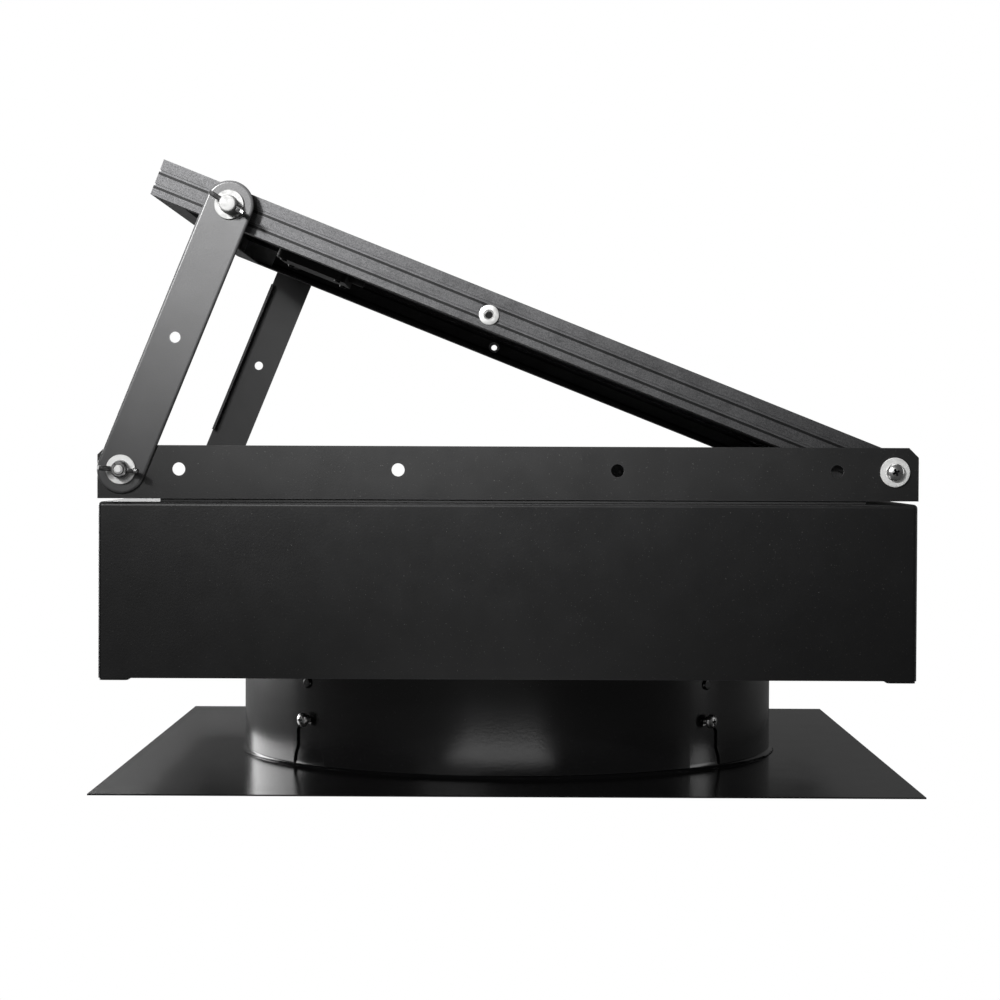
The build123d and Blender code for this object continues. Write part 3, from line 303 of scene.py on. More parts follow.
def anodised(name, colour):
    """Bead-blasted, dark anodised extrusion with faint drawing lines along its length and painted shade along
    its two grooves.
    """
    finish = Finish(name, colour, 0.46, metallic=0.75)
    grain = finish.noise(0.55 * MM, detail=2)
    along = finish.mapped(rotation=(0, PANEL_TILT, 0), scale=(90 * MM, 0.8 * MM, 0.8 * MM))
    drawn = finish.noise(1.0, place=along)
    finish.bump(grain, 0.08 * MM, 0.5)
    finish.bump(drawn, 0.05 * MM, 0.35)
    base = finish.mix(finish.spread(grain, 0.3, 0.7), shade(colour, 0.5), shade(colour, 1.6))
    base = finish.mix(finish.spread(drawn, 0.35, 0.7, 0, 0.5), base, shade(colour, 0.8))
    edge = finish.math("MULTIPLY", finish.edges(0.4 * MM), 0.35)
    base = finish.mix(edge, base, shade(colour, 3))
    # Painted shade: a near-black band along each of the frame's two grooves stands in for the shade inside
    # them.
    axes = finish.node("ShaderNodeSeparateXYZ")
    finish.feed(axes.inputs[0], finish.mapped(location=(HINGE.x, 0, HINGE.z), rotation=(0, PANEL_TILT, 0)))
    for groove in PANEL_GROOVES:
        away = finish.math("ABSOLUTE", finish.math("SUBTRACT", axes.outputs["Z"], groove))
        base = finish.mix(finish.spread(away, 0.75 * MM, 1.0 * MM, 0.93, 0), base, shade(colour, 0.06))
    finish.set("Base Color", base)
    finish.set("Roughness", finish.spread(finish.noise(14 * MM), 0.3, 0.7, 0.40, 0.54))
    return finish.material


def plated(name, colour, roughness=0.26, grime=0.35, metallic=1.0):
    """Electroplated steel: fine scratches, dull patches and dirt."""
    finish = Finish(name, colour, roughness, metallic=metallic)
    patch = finish.noise(3.2 * MM, detail=4)
    slanting = finish.mapped(rotation=(0.3, 0.5, 0.8), scale=(6 * MM, 0.35 * MM, 0.35 * MM))
    scratch = finish.noise(1.0, detail=2, place=slanting)
    finish.bump(scratch, 0.03 * MM, 0.4)
    base = finish.mix(finish.spread(patch, 0.4, 0.75, 0, grime), finish.colour, shade(colour, 0.45))
    finish.set("Base Color", base)
    finish.set("Roughness", finish.spread(patch, 0.3, 0.7, roughness * 0.7, roughness * 1.6))
    return finish.material


def galvanised(name):
    """Hot-dip zinc with its frost-flower spangle."""
    colour = (0.52, 0.53, 0.54)
    finish = Finish(name, colour, 0.42, metallic=0.95)
    spangle = finish.cells(9 * MM).outputs["Color"]
    tone = finish.node("ShaderNodeSeparateColor")
    finish.feed(tone.inputs[0], spangle)
    base = finish.mix(tone.outputs[0], shade(colour, 0.72), shade(colour, 1.18))
    dull = finish.spread(finish.noise(30 * MM), 0.5, 0.8, 0, 0.4)
    finish.set("Base Color", finish.mix(dull, base, shade(colour, 0.6)))
    finish.set("Roughness", finish.spread(tone.outputs[1], 0, 1, 0.32, 0.52))
    finish.bump(finish.noise(1.2 * MM), 0.04 * MM, 0.3)
    return finish.material


def cast_metal(name, colour, roughness=0.55, metallic=0.85, grain=0.7 * MM):
    """Die-cast or sintered metal with a pebbled skin."""
    finish = Finish(name, colour, roughness, metallic=metallic)
    pebble = finish.noise(grain, detail=3)
    finish.bump(pebble, 0.15 * MM, 0.6)
    patch = finish.spread(finish.noise(12 * MM, detail=4), 0.35, 0.7)
    base = finish.mix(patch, shade(colour, 0.75), shade(colour, 1.15))
    worn = finish.math("MULTIPLY", finish.edges(0.6 * MM), 0.5)
    finish.set("Base Color", finish.mix(worn, base, shade(colour, 1.5)))
    finish.set("Roughness", finish.spread(pebble, 0.3, 0.7, roughness * 0.85, roughness * 1.2))
    return finish.material


def moulded(name, colour, roughness=0.5, grain=0.45 * MM):
    """Moulded plastic or rubber with a fine spark-eroded grain."""
    finish = Finish(name, colour, roughness)
    texture = finish.noise(grain, detail=2)
    finish.bump(texture, 0.06 * MM, 0.55)
    flow = finish.spread(finish.noise(45 * MM, detail=3), 0.3, 0.75)
    base = finish.mix(flow, shade(colour, 0.85), shade(colour, 1.3))
    worn = finish.math("MULTIPLY", finish.edges(0.5 * MM), 0.35)
    finish.set("Base Color", finish.mix(worn, base, shade(colour, 3)))
    finish.set("Roughness", finish.spread(flow, 0, 1, roughness * 0.88, roughness * 1.18))
    return finish.material


def laminated_steel(name):
    """Stacked stampings, seen as fine lines across the stack."""
    colour = (0.2, 0.19, 0.19)
    finish = Finish(name, colour, 0.5, metallic=0.9)
    layers = finish.noise(1.0, detail=0, place=finish.mapped(scale=(200 * MM, 200 * MM, 0.5 * MM)))
    finish.bump(layers, 0.08 * MM, 0.7)
    stripes = finish.spread(layers, 0.4, 0.6)
    finish.set("Base Color", finish.mix(stripes, shade(colour, 0.6), shade(colour, 1.5)))
    return finish.material


def wound_copper(name):
    """Enamelled magnet wire, seen as fine cords round each tooth."""
    colour = (0.42, 0.16, 0.06)
    finish = Finish(name, colour, 0.3, metallic=0.8, Coat_Weight=0.4)
    wires = finish.noise(1.0, detail=0, place=finish.mapped(scale=(0.5 * MM, 0.5 * MM, 60 * MM)))
    finish.bump(wires, 0.15 * MM, 0.8)
    copper = finish.spread(wires, 0.35, 0.65)
    finish.set("Base Color", finish.mix(copper, shade(colour, 0.5), shade(colour, 1.5)))
    return finish.material


def silicon_cells(name, colour, finger_pitch=2.1 * MM):
    """Dark cells with printed silver fingers across them and a faint blue bloom."""
    finish = Finish(name, colour, 0.22, Specular_IOR_Level=0.7)
    flat = finish.mapped(location=(HINGE.x, 0, HINGE.z), rotation=(0, PANEL_TILT, 0))
    axes = finish.node("ShaderNodeSeparateXYZ")
    finish.feed(axes.inputs[0], flat)
    across = finish.math("FRACT", finish.math("DIVIDE", axes.outputs["X"], finger_pitch))
    finger = finish.math("LESS_THAN", across, 0.09)
    bloom = finish.spread(finish.noise(70 * MM, detail=3, place=flat), 0.3, 0.7)
    base = finish.mix(bloom, shade(colour, 0.7), shade(colour, 1.7))
    finish.set("Base Color", finish.mix(finish.math("MULTIPLY", finger, 0.55), base, (0.25, 0.26, 0.28, 1)))
    finish.set("Roughness", finish.spread(finish.noise(20 * MM, place=flat), 0.3, 0.7, 0.17, 0.3))
    finish.bump(finger, 0.02 * MM, 0.5)
    return finish.material


def cover_glass(name):
    """Tempered low-iron glass, faintly rippled, seen as a clear sheen over the cells."""
    finish = Finish(name, (0.02, 0.03, 0.035), 0.06, Alpha=0.16, IOR=1.5)
    finish.bump(finish.noise(1.6 * MM, detail=1), 0.02 * MM, 0.25)
    finish.set("Roughness", finish.spread(finish.noise(60 * MM, detail=4), 0.3, 0.75, 0.04, 0.12))
    dust = finish.spread(finish.noise(25 * MM, detail=6, rough=0.7), 0.45, 0.8, 0, 0.25)
    finish.set("Base Color", finish.mix(dust, finish.colour, (0.3, 0.29, 0.27, 1)))
    return finish.material


FINISHES = {}


def mix_finishes(settings):
    """Mixes every finish once, from the user's colours."""
    coat, peel, wear = settings.coat_colour, settings.peel_size, settings.wear_width
    FINISHES.update(
        hood_coat=powder_coat("hood_coat", coat, 0.36, peel, wear),
        neck_coat=powder_coat("neck_coat", coat, 0.2, peel * 1.4, wear, dust=0.5),
        flashing_coat=powder_coat("flashing_coat", coat, 0.17, peel * 1.5, wear, dust=0.7),
        rail_coat=powder_coat("rail_coat", settings.rail_colour, 0.42, peel * 0.7, wear),
        arm_coat=powder_coat("arm_coat", settings.arm_colour, 0.38, peel * 0.7, wear, dust=0.5),
        anodised_frame=anodised("anodised_frame", settings.frame_colour),
        zinc=plated("bright_zinc", settings.zinc_colour),
        # One zinc plate in three copies of different brightness, as painted light and shade: the pale copy
        # makes dimly lit washers and studs read bright, and the two darker copies hold back the top pivot's
        # washers and bolts and the rivet nuts where the light falls strongly.
        washer_zinc=plated("washer_zinc", (0.86, 0.86, 0.85), 0.4, 0.1, 0.3),
        bolt_zinc=plated("bolt_zinc", (0.25, 0.25, 0.247), 0.46, 0.15, 0.5),
        pivot_zinc=plated("pivot_zinc", (0.42, 0.42, 0.415), 0.38, 0.15, 0.6),
        # Black oxide of the junction box screws, also used as painted shade in the screw heads' cross recesses
        black_oxide=plated("black_oxide", (0.02, 0.02, 0.021), 0.45, 0.3, 0.5),
        dark_zinc=plated("dark_zinc", shade(settings.zinc_colour, 0.5)[:3], 0.3, 0.8),
        cast_zinc=cast_metal("cast_zinc", (0.16, 0.16, 0.16), 0.34, 0.9, 0.8 * MM),
        steel=plated("ground_steel", (0.5, 0.5, 0.5), 0.18, 0.2),
        galvanised=galvanised("galvanised_sheet"),
        motor_cast=cast_metal("cast_aluminium", (0.45, 0.45, 0.46)),
        mill_aluminium=cast_metal("mill_aluminium", (0.6, 0.6, 0.61), 0.4, 1.0, 0.4 * MM),
        magnet=cast_metal("sintered_magnet", (0.07, 0.07, 0.075), 0.6, 0.4, 0.5 * MM),
        core=laminated_steel("laminated_core"),
        copper=wound_copper("wound_copper"),
        box_plastic=moulded("junction_box_plastic", (0.012, 0.012, 0.012), 0.48),
        fan_plastic=moulded("glass_filled_nylon", (0.016, 0.016, 0.017), 0.42, 0.8 * MM),
        nylon=moulded("natural_nylon", (0.6, 0.58, 0.52), 0.45),
        rubber=moulded("weather_rubber", (0.012, 0.012, 0.012), 0.7, 0.35 * MM),
        backsheet=moulded("black_backsheet", (0.008, 0.008, 0.009), 0.5, 1.2 * MM),
        cells=silicon_cells("silicon_cells", settings.cell_colour),
        glass=cover_glass("cover_glass"),
        ribbon=plated("solder_ribbon", (0.62, 0.63, 0.64), 0.3, 0.2),
    )


def coat_nodes(finish, *nodes):
    """Puts one finish on CAD nodes whose shape stays as it is."""
    for name in nodes:
        slots = frame["nodes"][name].data.materials
        slots.clear()
        slots.append(FINISHES[finish])


# ---------------------------------------------------------------- mesh tools
def centre(node):
    """The middle of a CAD node's box."""
    low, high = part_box(node)
    return (low + high) / 2


def outward(side, x, y, z):
    """The place of hardware modelled along +Z, turned so that +Z leaves the given side."""
    return Matrix.Translation((x, y, z)) @ Matrix.Rotation(-side * math.pi / 2, 4, "X")


def new_geometry(bm, before):
    """The vertices that were added since the count was taken."""
    bm.verts.ensure_lookup_table()
    return bm.verts[before:]


def place_since(bm, before, matrix):
    bmesh.ops.transform(bm, matrix=matrix, verts=new_geometry(bm, before))


def lathe(bm, outline, steps, matrix=Matrix.Identity(4), closed=True):
    """Spins an outline of (radius, height) points about Z, then puts it in place."""
    before = len(bm.verts)
    ring = [bm.verts.new((radius, 0, height)) for radius, height in outline]
    pairs = list(zip(ring, ring[1:])) + ([(ring[-1], ring[0])] if closed else [])
    edges = [bm.edges.new(pair) for pair in pairs]
    bmesh.ops.spin(
        bm, geom=ring + edges, cent=(0, 0, 0), axis=(0, 0, 1), dvec=(0, 0, 0),
        angle=math.tau, steps=steps, use_merge=True,
    )
    place_since(bm, before, matrix)


def thread(bm, radius, pitch, low, high, matrix=Matrix.Identity(4), steps=20):
    """A threaded rod from low to high along Z, by sweeping one pitch of its outline as a helix."""
    rod = bmesh.new()
    root = radius - 0.6 * pitch
    turns = math.ceil((high - low) / pitch) + 2
    start = low - pitch
    outline = ((radius, 0), (radius, 0.12), (root, 0.5), (root, 0.62), (radius, 1.0))
    ring = [rod.verts.new((r, 0, start + share * pitch)) for r, share in outline]
    edges = [rod.edges.new(pair) for pair in zip(ring, ring[1:])]
    bmesh.ops.spin(
        rod, geom=ring + edges, cent=(0, 0, 0), axis=(0, 0, 1), dvec=(0, 0, pitch / steps),
        angle=math.tau * turns, steps=steps * turns,
    )
    bmesh.ops.remove_doubles(rod, verts=rod.verts, dist=pitch / 200)
    for height, up in ((low, -1), (high, 1)):
        cut = bmesh.ops.bisect_plane(
            rod, geom=rod.verts[:] + rod.edges[:] + rod.faces[:], dist=1e-7,
            plane_co=(0, 0, height), plane_no=(0, 0, up), clear_outer=True,
        )
        rim = [item for item in cut["geom_cut"] if isinstance(item, bmesh.types.BMEdge)]
        bmesh.ops.edgeloop_fill(rod, edges=rim)
    stamp(bm, rod, matrix)
    rod.free()


def stamp(bm, source, matrix=Matrix.Identity(4)):
    """Copies one bmesh into another, in place."""
    before = len(bm.verts)
    mesh = bpy.data.meshes.new("stamp")
    source.to_mesh(mesh)
    bm.from_mesh(mesh)
    bpy.data.meshes.remove(mesh)
    place_since(bm, before, matrix)


def slab(bm, size, matrix, edge_round=0.0):
    """A block with rounded edges."""
    before = len(bm.verts)
    made = bmesh.ops.create_cube(bm, size=1, matrix=Matrix.Diagonal((*size, 1)))
    if edge_round:
        edges = list({edge for vert in made["verts"] for edge in vert.link_edges})
        bmesh.ops.bevel(
            bm, geom=edges, offset=edge_round, segments=2, profile=0.5, affect="EDGES", material=-1,
        )
    place_since(bm, before, matrix)


def add_piece(name, bm, finish, body, replaces=None):
    """Closes a bmesh into a named piece that rides on a body; finish may be several names."""
    bmesh.ops.remove_doubles(bm, verts=bm.verts, dist=1e-7)
    bmesh.ops.recalc_face_normals(bm, faces=bm.faces)
    for face in bm.faces:
        face.smooth = True
    for edge in bm.edges:
        edge.smooth = edge.is_manifold and edge.calc_face_angle() < SHARP_ANGLE
    mesh = bpy.data.meshes.new(name)
    bm.to_mesh(mesh)
    bm.free()
    for one in finish.split():
        mesh.materials.append(FINISHES[one])
    piece = bpy.data.objects.new(name, mesh)
    bpy.context.scene.collection.objects.link(piece)
    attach(piece, body)
    if replaces:
        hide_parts(replaces)
    return piece


def washer_outline(inner, outer, low, high, edge_round):
    """The section of a flat ring with its four edges broken."""
    return (
        (inner, low + edge_round), (inner + edge_round, low),
        (outer - edge_round, low), (outer, low + edge_round),
        (outer, high - edge_round), (outer - edge_round, high),
        (inner + edge_round, high), (inner, high - edge_round),
    )


def arc(radius_centre, height_centre, radius, start, end, steps):
    """Points along an arc in a lathe outline, in degrees."""
    points = []
    for k in range(steps + 1):
        angle = math.radians(start + (end - start) * k / steps)
        points.append((radius_centre + radius * math.cos(angle), height_centre + radius * math.sin(angle)))
    return points


def mesh_object(bm):
    """A temporary object around a bmesh, which is freed."""
    bmesh.ops.recalc_face_normals(bm, faces=bm.faces)
    mesh = bpy.data.meshes.new("temporary")
    bm.to_mesh(mesh)
    bm.free()
    thing = bpy.data.objects.new("temporary", mesh)
    bpy.context.scene.collection.objects.link(thing)
    return thing


def discard(thing):
    mesh = thing.data
    bpy.data.objects.remove(thing)
    bpy.data.meshes.remove(mesh)


def cross_recess_head(radius, height, steps):
    """A domed screw head on Z = 0 with a tapered cross cut into its crown, its recess faces set to the second
    material as painted shade.
    """
    rim = height * 0.3
    dome = [(r, rim + (height - rim) * rise) for r, rise in arc(0, 0, 1, 0, 90, 12)]
    outline = [(0, 0), (radius, 0)] + [(radius * r, z) for r, z in dome[:-1]] + [(0, height)]
    solid = bmesh.new()
    lathe(solid, outline, steps, closed=False)
    bmesh.ops.remove_doubles(solid, verts=solid.verts, dist=1e-7)
    head = mesh_object(solid)
    for turn in (0, math.pi / 2):
        bar = bmesh.new()
        depth = height * RECESS_DEPTH
        bar_size = Matrix.Diagonal((radius * RECESS_LENGTH, radius * RECESS_WIDTH, 2 * depth, 1))
        made = bmesh.ops.create_cube(bar, size=1, matrix=bar_size)
        low = [vert for vert in made["verts"] if vert.co.z < 0]
        bmesh.ops.scale(bar, vec=(0.4, 0.6, 1), verts=low)
        bmesh.ops.transform(
            bar, matrix=Matrix.Translation((0, 0, height)) @ Matrix.Rotation(turn, 4, "Z"), verts=bar.verts,
        )
        cutter = mesh_object(bar)
        cut = head.modifiers.new("recess", "BOOLEAN")
        cut.operation = "DIFFERENCE"
        cut.solver = "EXACT"
        cut.object = cutter
        carved = bpy.data.meshes.new_from_object(head.evaluated_get(bpy.context.evaluated_depsgraph_get()))
        discard(cutter)
        head.modifiers.clear()
        plain = head.data
        head.data = carved
        bpy.data.meshes.remove(plain)
    finished = bmesh.new()
    finished.from_mesh(head.data)
    discard(head)
    # Faces inside the cross recess take the black second material: painted shade in the recess.
    for face in finished.faces:
        spot = face.calc_center_median()
        inside = spot.xy.length < RECESS_REACH * radius and spot.z > 0.1 * height
        if inside and (face.normal.z < 0.6 or spot.z < 0.7 * height):
            face.material_index = 1
    return finished


def wing_pair(bm, thickness, place):
    """Two swept cast wings: a shaped outline, thickened, rounded and smoothed."""
    outline = (
        (2.6, 1.0), (5.6, 1.7), (9.0, 2.9), (11.9, 4.9), (13.7, 7.6), (13.8, 10.6), (12.5, 12.2),
        (10.4, 11.8), (9.1, 9.6), (7.7, 7.6), (5.4, 6.6), (2.6, 6.6),
    )
    for turn in (0, math.pi):
        wing = bmesh.new()
        rim = [wing.verts.new((x * MM, -thickness / 2, z * MM)) for x, z in outline]
        face = wing.faces.new(rim)
        raised = bmesh.ops.extrude_face_region(wing, geom=[face])["geom"]
        back = [item for item in raised if isinstance(item, bmesh.types.BMVert)]
        bmesh.ops.translate(wing, vec=(0, thickness, 0), verts=back)
        bmesh.ops.recalc_face_normals(wing, faces=wing.faces)
        sides = [face for face in wing.faces if len(face.verts) > 4]
        long_edges = list({edge for face in sides for edge in face.edges})
        bmesh.ops.bevel(
            wing, geom=long_edges, offset=thickness * 0.32, segments=4, profile=0.5,
            affect="EDGES", material=-1,
        )
        for side in wing.faces:
            side.material_index = 1
        stamp(bm, wing, place @ Matrix.Rotation(turn, 4, "Z"))
        wing.free()


def settings():
    return bpy.context.scene.attic_fan_hardware


# ---------------------------------------------------------------- operators: carried-over pieces
class ATTICFAN_OT_mix_finishes(bpy.types.Operator):
    """Mix the paints, platings and plastics that the other steps use"""

    bl_idname = "attic_fan.mix_finishes"
    bl_label = "Mix finishes"

    def execute(self, context):
        mix_finishes(context.scene.attic_fan_finishes)
        return {"FINISHED"}


class ATTICFAN_OT_coat_roof_parts(bpy.types.Operator):
    """Coat the flashing and the neck in gloss black"""

    bl_idname = "attic_fan.coat_roof_parts"
    bl_label = "Coat flashing and neck"

    def execute(self, context):
        coat_nodes("flashing_coat", "flashing_plate")
        coat_nodes("neck_coat", "neck_housing", "bracket_rivets")
        coat_nodes("zinc", "collar_nuts")
        return {"FINISHED"}


class ATTICFAN_OT_coat_hood(bpy.types.Operator):
    """Coat the hood, its corner plates, rivets and outlet screen"""

    bl_idname = "attic_fan.coat_hood"
    bl_label = "Coat hood"

    def execute(self, context):
        coat_nodes("hood_coat", "hood_shell", "hood_corner_plates", "hood_rivets", "outlet_screen")
        coat_nodes("galvanised", "hood_brackets")
        coat_nodes("rubber", "cable_gland")
        return {"FINISHED"}


class ATTICFAN_OT_coat_rails(bpy.types.Operator):
    """Coat the side rails and finish their gaskets, screws and nuts"""

    bl_idname = "attic_fan.coat_rails"
    bl_label = "Coat rails"

    def execute(self, context):
        coat_nodes("rail_coat", "rail_near", "rail_far")
        coat_nodes("rubber", "rail_gaskets")
        coat_nodes("zinc", "rail_screws", "rail_nuts")
        return {"FINISHED"}


class ATTICFAN_OT_coat_arms(bpy.types.Operator):
    """Coat the prop arms and finish their spacers"""

    bl_idname = "attic_fan.coat_arms"
    bl_label = "Coat prop arms"

    def execute(self, context):
        coat_nodes("arm_coat", "prop_arm_near", "prop_arm_far")
        coat_nodes("nylon", "arm_spacer_near", "arm_spacer_far", "hinge_bushes")
        return {"FINISHED"}


class ATTICFAN_OT_finish_panel(bpy.types.Operator):
    """Finish the solar panel's frame, laminate and junction box"""

    bl_idname = "attic_fan.finish_panel"
    bl_label = "Finish solar panel"

    def execute(self, context):
        members = [f"panel_frame_{place}" for place in ("near", "far", "low", "high")]
        coat_nodes("anodised_frame", *members)
        coat_nodes("mill_aluminium", "corner_cleats")
        coat_nodes("glass", "panel_glass")
        coat_nodes("cells", "solar_cells")
        coat_nodes("backsheet", "panel_backsheet")
        coat_nodes("box_plastic", "junction_box", "junction_box_lid", "junction_box_gland")
        coat_nodes("black_oxide", "junction_box_screws")
        return {"FINISHED"}


class ATTICFAN_OT_finish_motor(bpy.types.Operator):
    """Finish the motor, its bracket and the venturi ring"""

    bl_idname = "attic_fan.finish_motor"
    bl_label = "Finish motor"

    def execute(self, context):
        coat_nodes("motor_cast", "motor_can", "motor_cap")
        coat_nodes("steel", "motor_bearings", "motor_shaft")
        coat_nodes("core", "stator_core")
        coat_nodes("copper", "stator_coils")
        coat_nodes("magnet", "rotor_magnets")
        coat_nodes("galvanised", "motor_bracket", "venturi_ring")
        coat_nodes("zinc", "motor_screws", "hub_nut")
        return {"FINISHED"}


class ATTICFAN_OT_finish_fan(bpy.types.Operator):
    """Finish the fan's hub and blades"""

    bl_idname = "attic_fan.finish_fan"
    bl_label = "Finish fan"

    def execute(self, context):
        coat_nodes("fan_plastic", "fan_hub", "fan_blades")
        return {"FINISHED"}


# ---------------------------------------------------------------- operators: new pieces
class ATTICFAN_OT_make_washers(bpy.types.Operator):
    """Turn the wide washers at the pivots, with broken edges"""

    bl_idname = "attic_fan.make_washers"
    bl_label = "Make washers"

    def execute(self, context):
        sizes = settings()
        for side, sign in SIDES.items():
            for place in ("top", "foot"):
                node = f"{place}_washer_{side}"
                low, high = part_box(node)
                middle = centre(node)
                inner_face = high.y if sign < 0 else low.y
                thick, outer = high.y - low.y, (high.x - low.x) / 2
                bm = bmesh.new()
                outline = washer_outline(3.3 * MM, outer, 0, thick, sizes.edge_round)
                lathe(bm, outline, sizes.lathe_steps, outward(sign, middle.x, inner_face, middle.z))
                # Zinc copy by lighting, as painted light and shade: the darkest copy for the brightly lit top
                # washers, the pale copy for the foot washers.
                finish = "bolt_zinc" if place == "top" else "washer_zinc"
                add_piece(f"{place}_pivot_washer_{side}", bm, finish, node, node)
        return {"FINISHED"}


class ATTICFAN_OT_make_wing_bolts(bpy.types.Operator):
    """Cast the wing bolts at the prop arms' tops"""

    bl_idname = "attic_fan.make_wing_bolts"
    bl_label = "Make wing bolts"

    boss_radius: bpy.props.FloatProperty(
        name="Boss radius", description="Radius of the bolt's round boss", default=5.7 * MM, unit="LENGTH",
    )
    boss_height: bpy.props.FloatProperty(
        name="Boss height", description="Height of the boss above its washer", default=9.5 * MM, unit="LENGTH",
    )
    turn: bpy.props.FloatProperty(
        name="Turn", description="How far the wings slope", subtype="ANGLE", default=math.radians(31.5),
    )

    def execute(self, context):
        sizes = settings()
        for side, sign in SIDES.items():
            node = f"top_wing_bolt_{side}"
            low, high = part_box(node)
            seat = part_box(f"top_washer_{side}")[0].y if sign < 0 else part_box(f"top_washer_{side}")[1].y
            tip = high.y if sign < 0 else low.y
            place = outward(sign, TOP_PIVOT.x, seat, TOP_PIVOT.z)
            bm = bmesh.new()
            crown = arc(self.boss_radius - 1.2 * MM, self.boss_height - 1.2 * MM, 1.2 * MM, 0, 90, 6)
            skirt = [(0, 0), (self.boss_radius + 0.5 * MM, 0), (self.boss_radius + 0.5 * MM, 0.8 * MM),
                     (self.boss_radius, 1.6 * MM)]
            lathe(bm, [*skirt, *crown, (0, self.boss_height)], sizes.lathe_steps, place, closed=False)
            wing_pair(bm, sizes.wing_thickness, place @ Matrix.Rotation(sign * self.turn, 4, "Z"))
            thread(bm, 3.0 * MM, sizes.pitch_m6, -abs(tip - seat), 0.2 * MM, place)
            # The boss takes the darkest zinc copy, painted shade against the bright spot light at the top
            # pivot.
            add_piece(f"wing_bolt_{side}", bm, "bolt_zinc cast_zinc", node, node)
        return {"FINISHED"}


class ATTICFAN_OT_make_wing_nuts(bpy.types.Operator):
    """Cast the wing nuts at the prop arms' feet"""

    bl_idname = "attic_fan.make_wing_nuts"
    bl_label = "Make wing nuts"

    turn: bpy.props.FloatProperty(
        name="Turn", description="How far the wings slope", subtype="ANGLE", default=math.radians(5),
    )

    def execute(self, context):
        sizes = settings()
        bore, foot, head, tall = 3.06 * MM, 6.3 * MM, 4.9 * MM, 8.0 * MM
        for side, sign in SIDES.items():
            node = f"foot_wing_nut_{side}"
            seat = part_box(f"foot_washer_{side}")[0].y if sign < 0 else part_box(f"foot_washer_{side}")[1].y
            place = outward(sign, FOOT_PIVOT.x, seat, FOOT_PIVOT.z)
            bm = bmesh.new()
            outline = [
                (bore, 0.5 * MM), (bore + 0.5 * MM, 0), (foot - 0.3 * MM, 0), (foot, 0.4 * MM),
                (head + 0.5 * MM, tall - 1.0 * MM), (head, tall - 0.3 * MM), (head - 0.4 * MM, tall),
                (bore + 0.5 * MM, tall), (bore, tall - 0.5 * MM),
            ]
            lathe(bm, outline, sizes.lathe_steps, place)
            wing_pair(bm, sizes.wing_thickness, place @ Matrix.Rotation(sign * self.turn, 4, "Z"))
            add_piece(f"wing_nut_{side}", bm, "dark_zinc cast_zinc", node, node)
        return {"FINISHED"}


class ATTICFAN_OT_make_studs(bpy.types.Operator):
    """Cut the M6 thread on the studs at the prop arms' feet"""

    bl_idname = "attic_fan.make_studs"
    bl_label = "Make foot studs"

    def execute(self, context):
        sizes = settings()
        for side, sign in SIDES.items():
            node = f"foot_stud_{side}"
            low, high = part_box(node)
            root, tip = (high.y, low.y) if sign < 0 else (low.y, high.y)
            place = outward(sign, FOOT_PIVOT.x, root, FOOT_PIVOT.z)
            length, nose = abs(tip - root), 0.7 * MM
            bm = bmesh.new()
            thread(bm, 2.98 * MM, sizes.pitch_m6, 0, length - nose, place)
            point = [(0, length - nose), (2.4 * MM, length - nose), (1.9 * MM, length), (0, length)]
            lathe(bm, point, sizes.lathe_steps, place, closed=False)
            # The studs take the pale copy of zinc, lightened as painted light.
            add_piece(f"threaded_stud_{side}", bm, "washer_zinc", "fan_head", node)
        return {"FINISHED"}


def screw_with_recess(name, head_radius, head_height, shank_radius, shank_length, pitch, places, body, node):
    """Threaded cross-recess screws at several places, as one piece."""
    head = cross_recess_head(head_radius, head_height, settings().lathe_steps)
    bm = bmesh.new()
    for place in places:
        stamp(bm, head, place)
        thread(bm, shank_radius, pitch, -shank_length, 0.1 * MM, place)
    head.free()
    # Zinc heads and threads, with black painted shade in the cross recesses
    return add_piece(name, bm, "zinc black_oxide", body, node)


class ATTICFAN_OT_make_neck_screws(bpy.types.Operator):
    """Make the backed-off M5 screws around the neck"""

    bl_idname = "attic_fan.make_neck_screws"
    bl_label = "Make neck screws"

    head_radius: bpy.props.FloatProperty(
        name="Head radius", description="Radius of the pan head", default=5.2 * MM, unit="LENGTH",
    )
    head_height: bpy.props.FloatProperty(
        name="Head height", description="Height of the pan head", default=3.6 * MM, unit="LENGTH",
    )
    shank_length: bpy.props.FloatProperty(
        name="Shank length", description="Length below the head", default=18.9 * MM, unit="LENGTH",
    )

    def execute(self, context):
        low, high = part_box("neck_screws")
        diagonal = math.sqrt(0.5)
        reach = (high.x - self.head_radius * diagonal) / diagonal - self.head_height
        places = [
            Matrix.Rotation(math.radians(angle), 4, "Z")
            @ Matrix.Translation((reach, 0, (low.z + high.z) / 2))
            @ Matrix.Rotation(math.pi / 2, 4, "Y")
            for angle in (45, 135, 225, 315)
        ]
        screw_with_recess(
            "backed_off_screws", self.head_radius, self.head_height, 2.48 * MM, self.shank_length,
            settings().pitch_m5, places, "roof_base", "neck_screws",
        )
        return {"FINISHED"}


